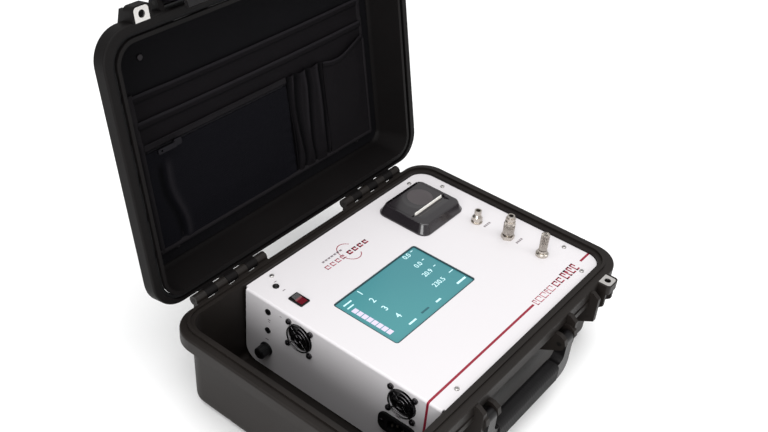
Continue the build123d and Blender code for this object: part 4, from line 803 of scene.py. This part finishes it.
def cardShape(a, b):
    c = card
    left, right, bottom, top = pockets["card"]
    rim = c["lowRim"] + (top - c["lowRim"]) * ease(a, 0.3, 1.0)
    rim += c["curl"] * (1 - ease(a, 0.0, 0.2))
    b = 1 - (1 - b) ** c["crowd"]
    u, v = left + a * (right - left), bottom + b * (rim - bottom)
    h = c["height"] + c["belly"] * sewn(a, 0.25) * ease(b, 0.05, 0.5)
    h += c["hem"] * ease(v, rim - c["hemZone"][0], rim - c["hemZone"][1])
    h += c["ripple"] * crease(u, v, c["rippleSize"], 12.0)
    h += c["gape"] * ease(b, 0.8, 1.0) * sin(pi * a)
    # painted shade in a band under the rim's hem, and a painted highlight along the rim's edge
    start, full, end = c["shadow"]
    paintedShading = c["dark"] * ease(v, rim - start, rim - full) * (1 - ease(v, rim - full, rim - end))
    paintedShading -= c["light"] * ease(v, rim - c["edge"][0], rim - c["edge"][1])
    return u, v, h, paintedShading


def buildSmallPockets():
    for name, shape, node, own, held in (("pens", penShape, "pen_pockets", pens, "gathered"),
                                         ("card", cardShape, "card_pocket", card, "stretched")):
        left, right, bottom, top = pockets[name]
        flat = ((right - left) * own["fullness"], top - bottom)
        piece = clothSheet("pocket_" + name, own["cells"], flat, shape, "pocketNylon")
        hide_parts(node)
        flat[0] * mm
        flat[1] * mm


bindings = {  # narrow tapes sewn over the pockets' sides and feet: across, up
    "binding_foot": ((-186.0, 186.0), (-116.5, -107.5)),
    "binding_left": ((-186.0, -177.0), (-112.0, 74.0)),
    "binding_right": ((179.5, 187.5), (-112.0, 74.0)),
}
# how high a binding stands over one, two or three layers, with the height each reaches up to
bindingSteps = ((20.0, 5.6), (46.0, 3.6), (1000.0, 2.4))


def buildBindings():
    made = []
    for name, (us, vs) in bindings.items():
        upright = us[1] - us[0] < vs[1] - vs[0]

        def shape(a, b):
            u, v = us[0] + a * (us[1] - us[0]), vs[0] + b * (vs[1] - vs[0])
            over = a if upright else b
            top = next(high for reach, high in bindingSteps if v < reach)
            arch = max(0.0, sin(pi * over)) ** 0.45
            return u, v, 0.7 + (top - 0.2) * arch + 0.15 * crease(u, v, 9, 2.0), 0.0
        made.append(clothSheet(name, (8, 90) if upright else (120, 8),
                               (us[1] - us[0], vs[1] - vs[0]), shape, "hemTape", 0.6))
    return made


buildDocumentPockets(buildBindings())
buildZipPocket()
buildSmallPockets()
print("lid organiser made")


studio = {
    "floor": 6.0, "world": 0.62,
    "lamps": [  # name, place, aimed at, size, power
        ("overhead", (-0.1, -0.2, 2.3), (0.0, 0.0, 0.1), 2.4, 52.0),
        ("leftBox", (-2.3, -0.9, 0.9), (0.0, 0.0, 0.1), 1.5, 44.0),
        ("frontBox", (0.8, -2.3, 1.2), (0.0, 0.0, 0.1), 1.0, 12.0),
    ],
}
cameraView = {
    "place": (-0.7438, -0.4812, 0.8619), "azimuth": -54.74, "elevation": 36.22,
    "roll": 5.39, "lens": 46.8,
}


def buildStudio():
    bm = bmesh.new()
    bmesh.ops.create_grid(bm, x_segments=1, y_segments=1, size=studio["floor"])
    mesh = bpy.data.meshes.new("floor")
    bm.to_mesh(mesh)
    bm.free()
    m = Finish("floorPale")
    haze = m.noise(2.0, 2.0)
    mesh.materials.append(m.surface(m.blendColor(haze, paint(252, 252, 252), paint(248, 248, 248)),
                                    0.7 + haze * 0.1))
    floor = bpy.data.objects.new("floor", mesh)
    bpy.context.scene.collection.objects.link(floor)
    world = bpy.data.worlds.new("studio")
    world.use_nodes = True
    world.node_tree.nodes["Background"].inputs["Color"].default_value = (1, 1, 1, 1)
    world.node_tree.nodes["Background"].inputs["Strength"].default_value = studio["world"]
    bpy.context.scene.world = world
    bpy.context.scene.view_settings.view_transform = "Standard"
    for name, place, aim, size, power in studio["lamps"]:
        lamp = bpy.data.lights.new(name, "AREA")
        lamp.shape, lamp.size, lamp.energy = "SQUARE", size, power
        holder = bpy.data.objects.new(name, lamp)
        holder.location = place
        holder.rotation_euler = (Vector(aim) - Vector(place)).to_track_quat("-Z", "Y").to_euler()
        bpy.context.scene.collection.objects.link(holder)


def buildCamera():
    c = cameraView
    data = bpy.data.cameras.new("camera")
    data.sensor_width, data.lens, data.clip_end = 36.0, c["lens"], 50.0
    holder = bpy.data.objects.new("camera", data)
    holder.matrix_world = (Matrix.Translation(c["place"])
                           @ Matrix.Rotation(radians(c["azimuth"]), 4, "Z")
                           @ Matrix.Rotation(radians(90 - c["elevation"]), 4, "X")
                           @ Matrix.Rotation(radians(c["roll"]), 4, "Z"))
    bpy.context.scene.collection.objects.link(holder)
    bpy.context.scene.camera = holder


buildStudio()
buildCamera()
print("studio made")
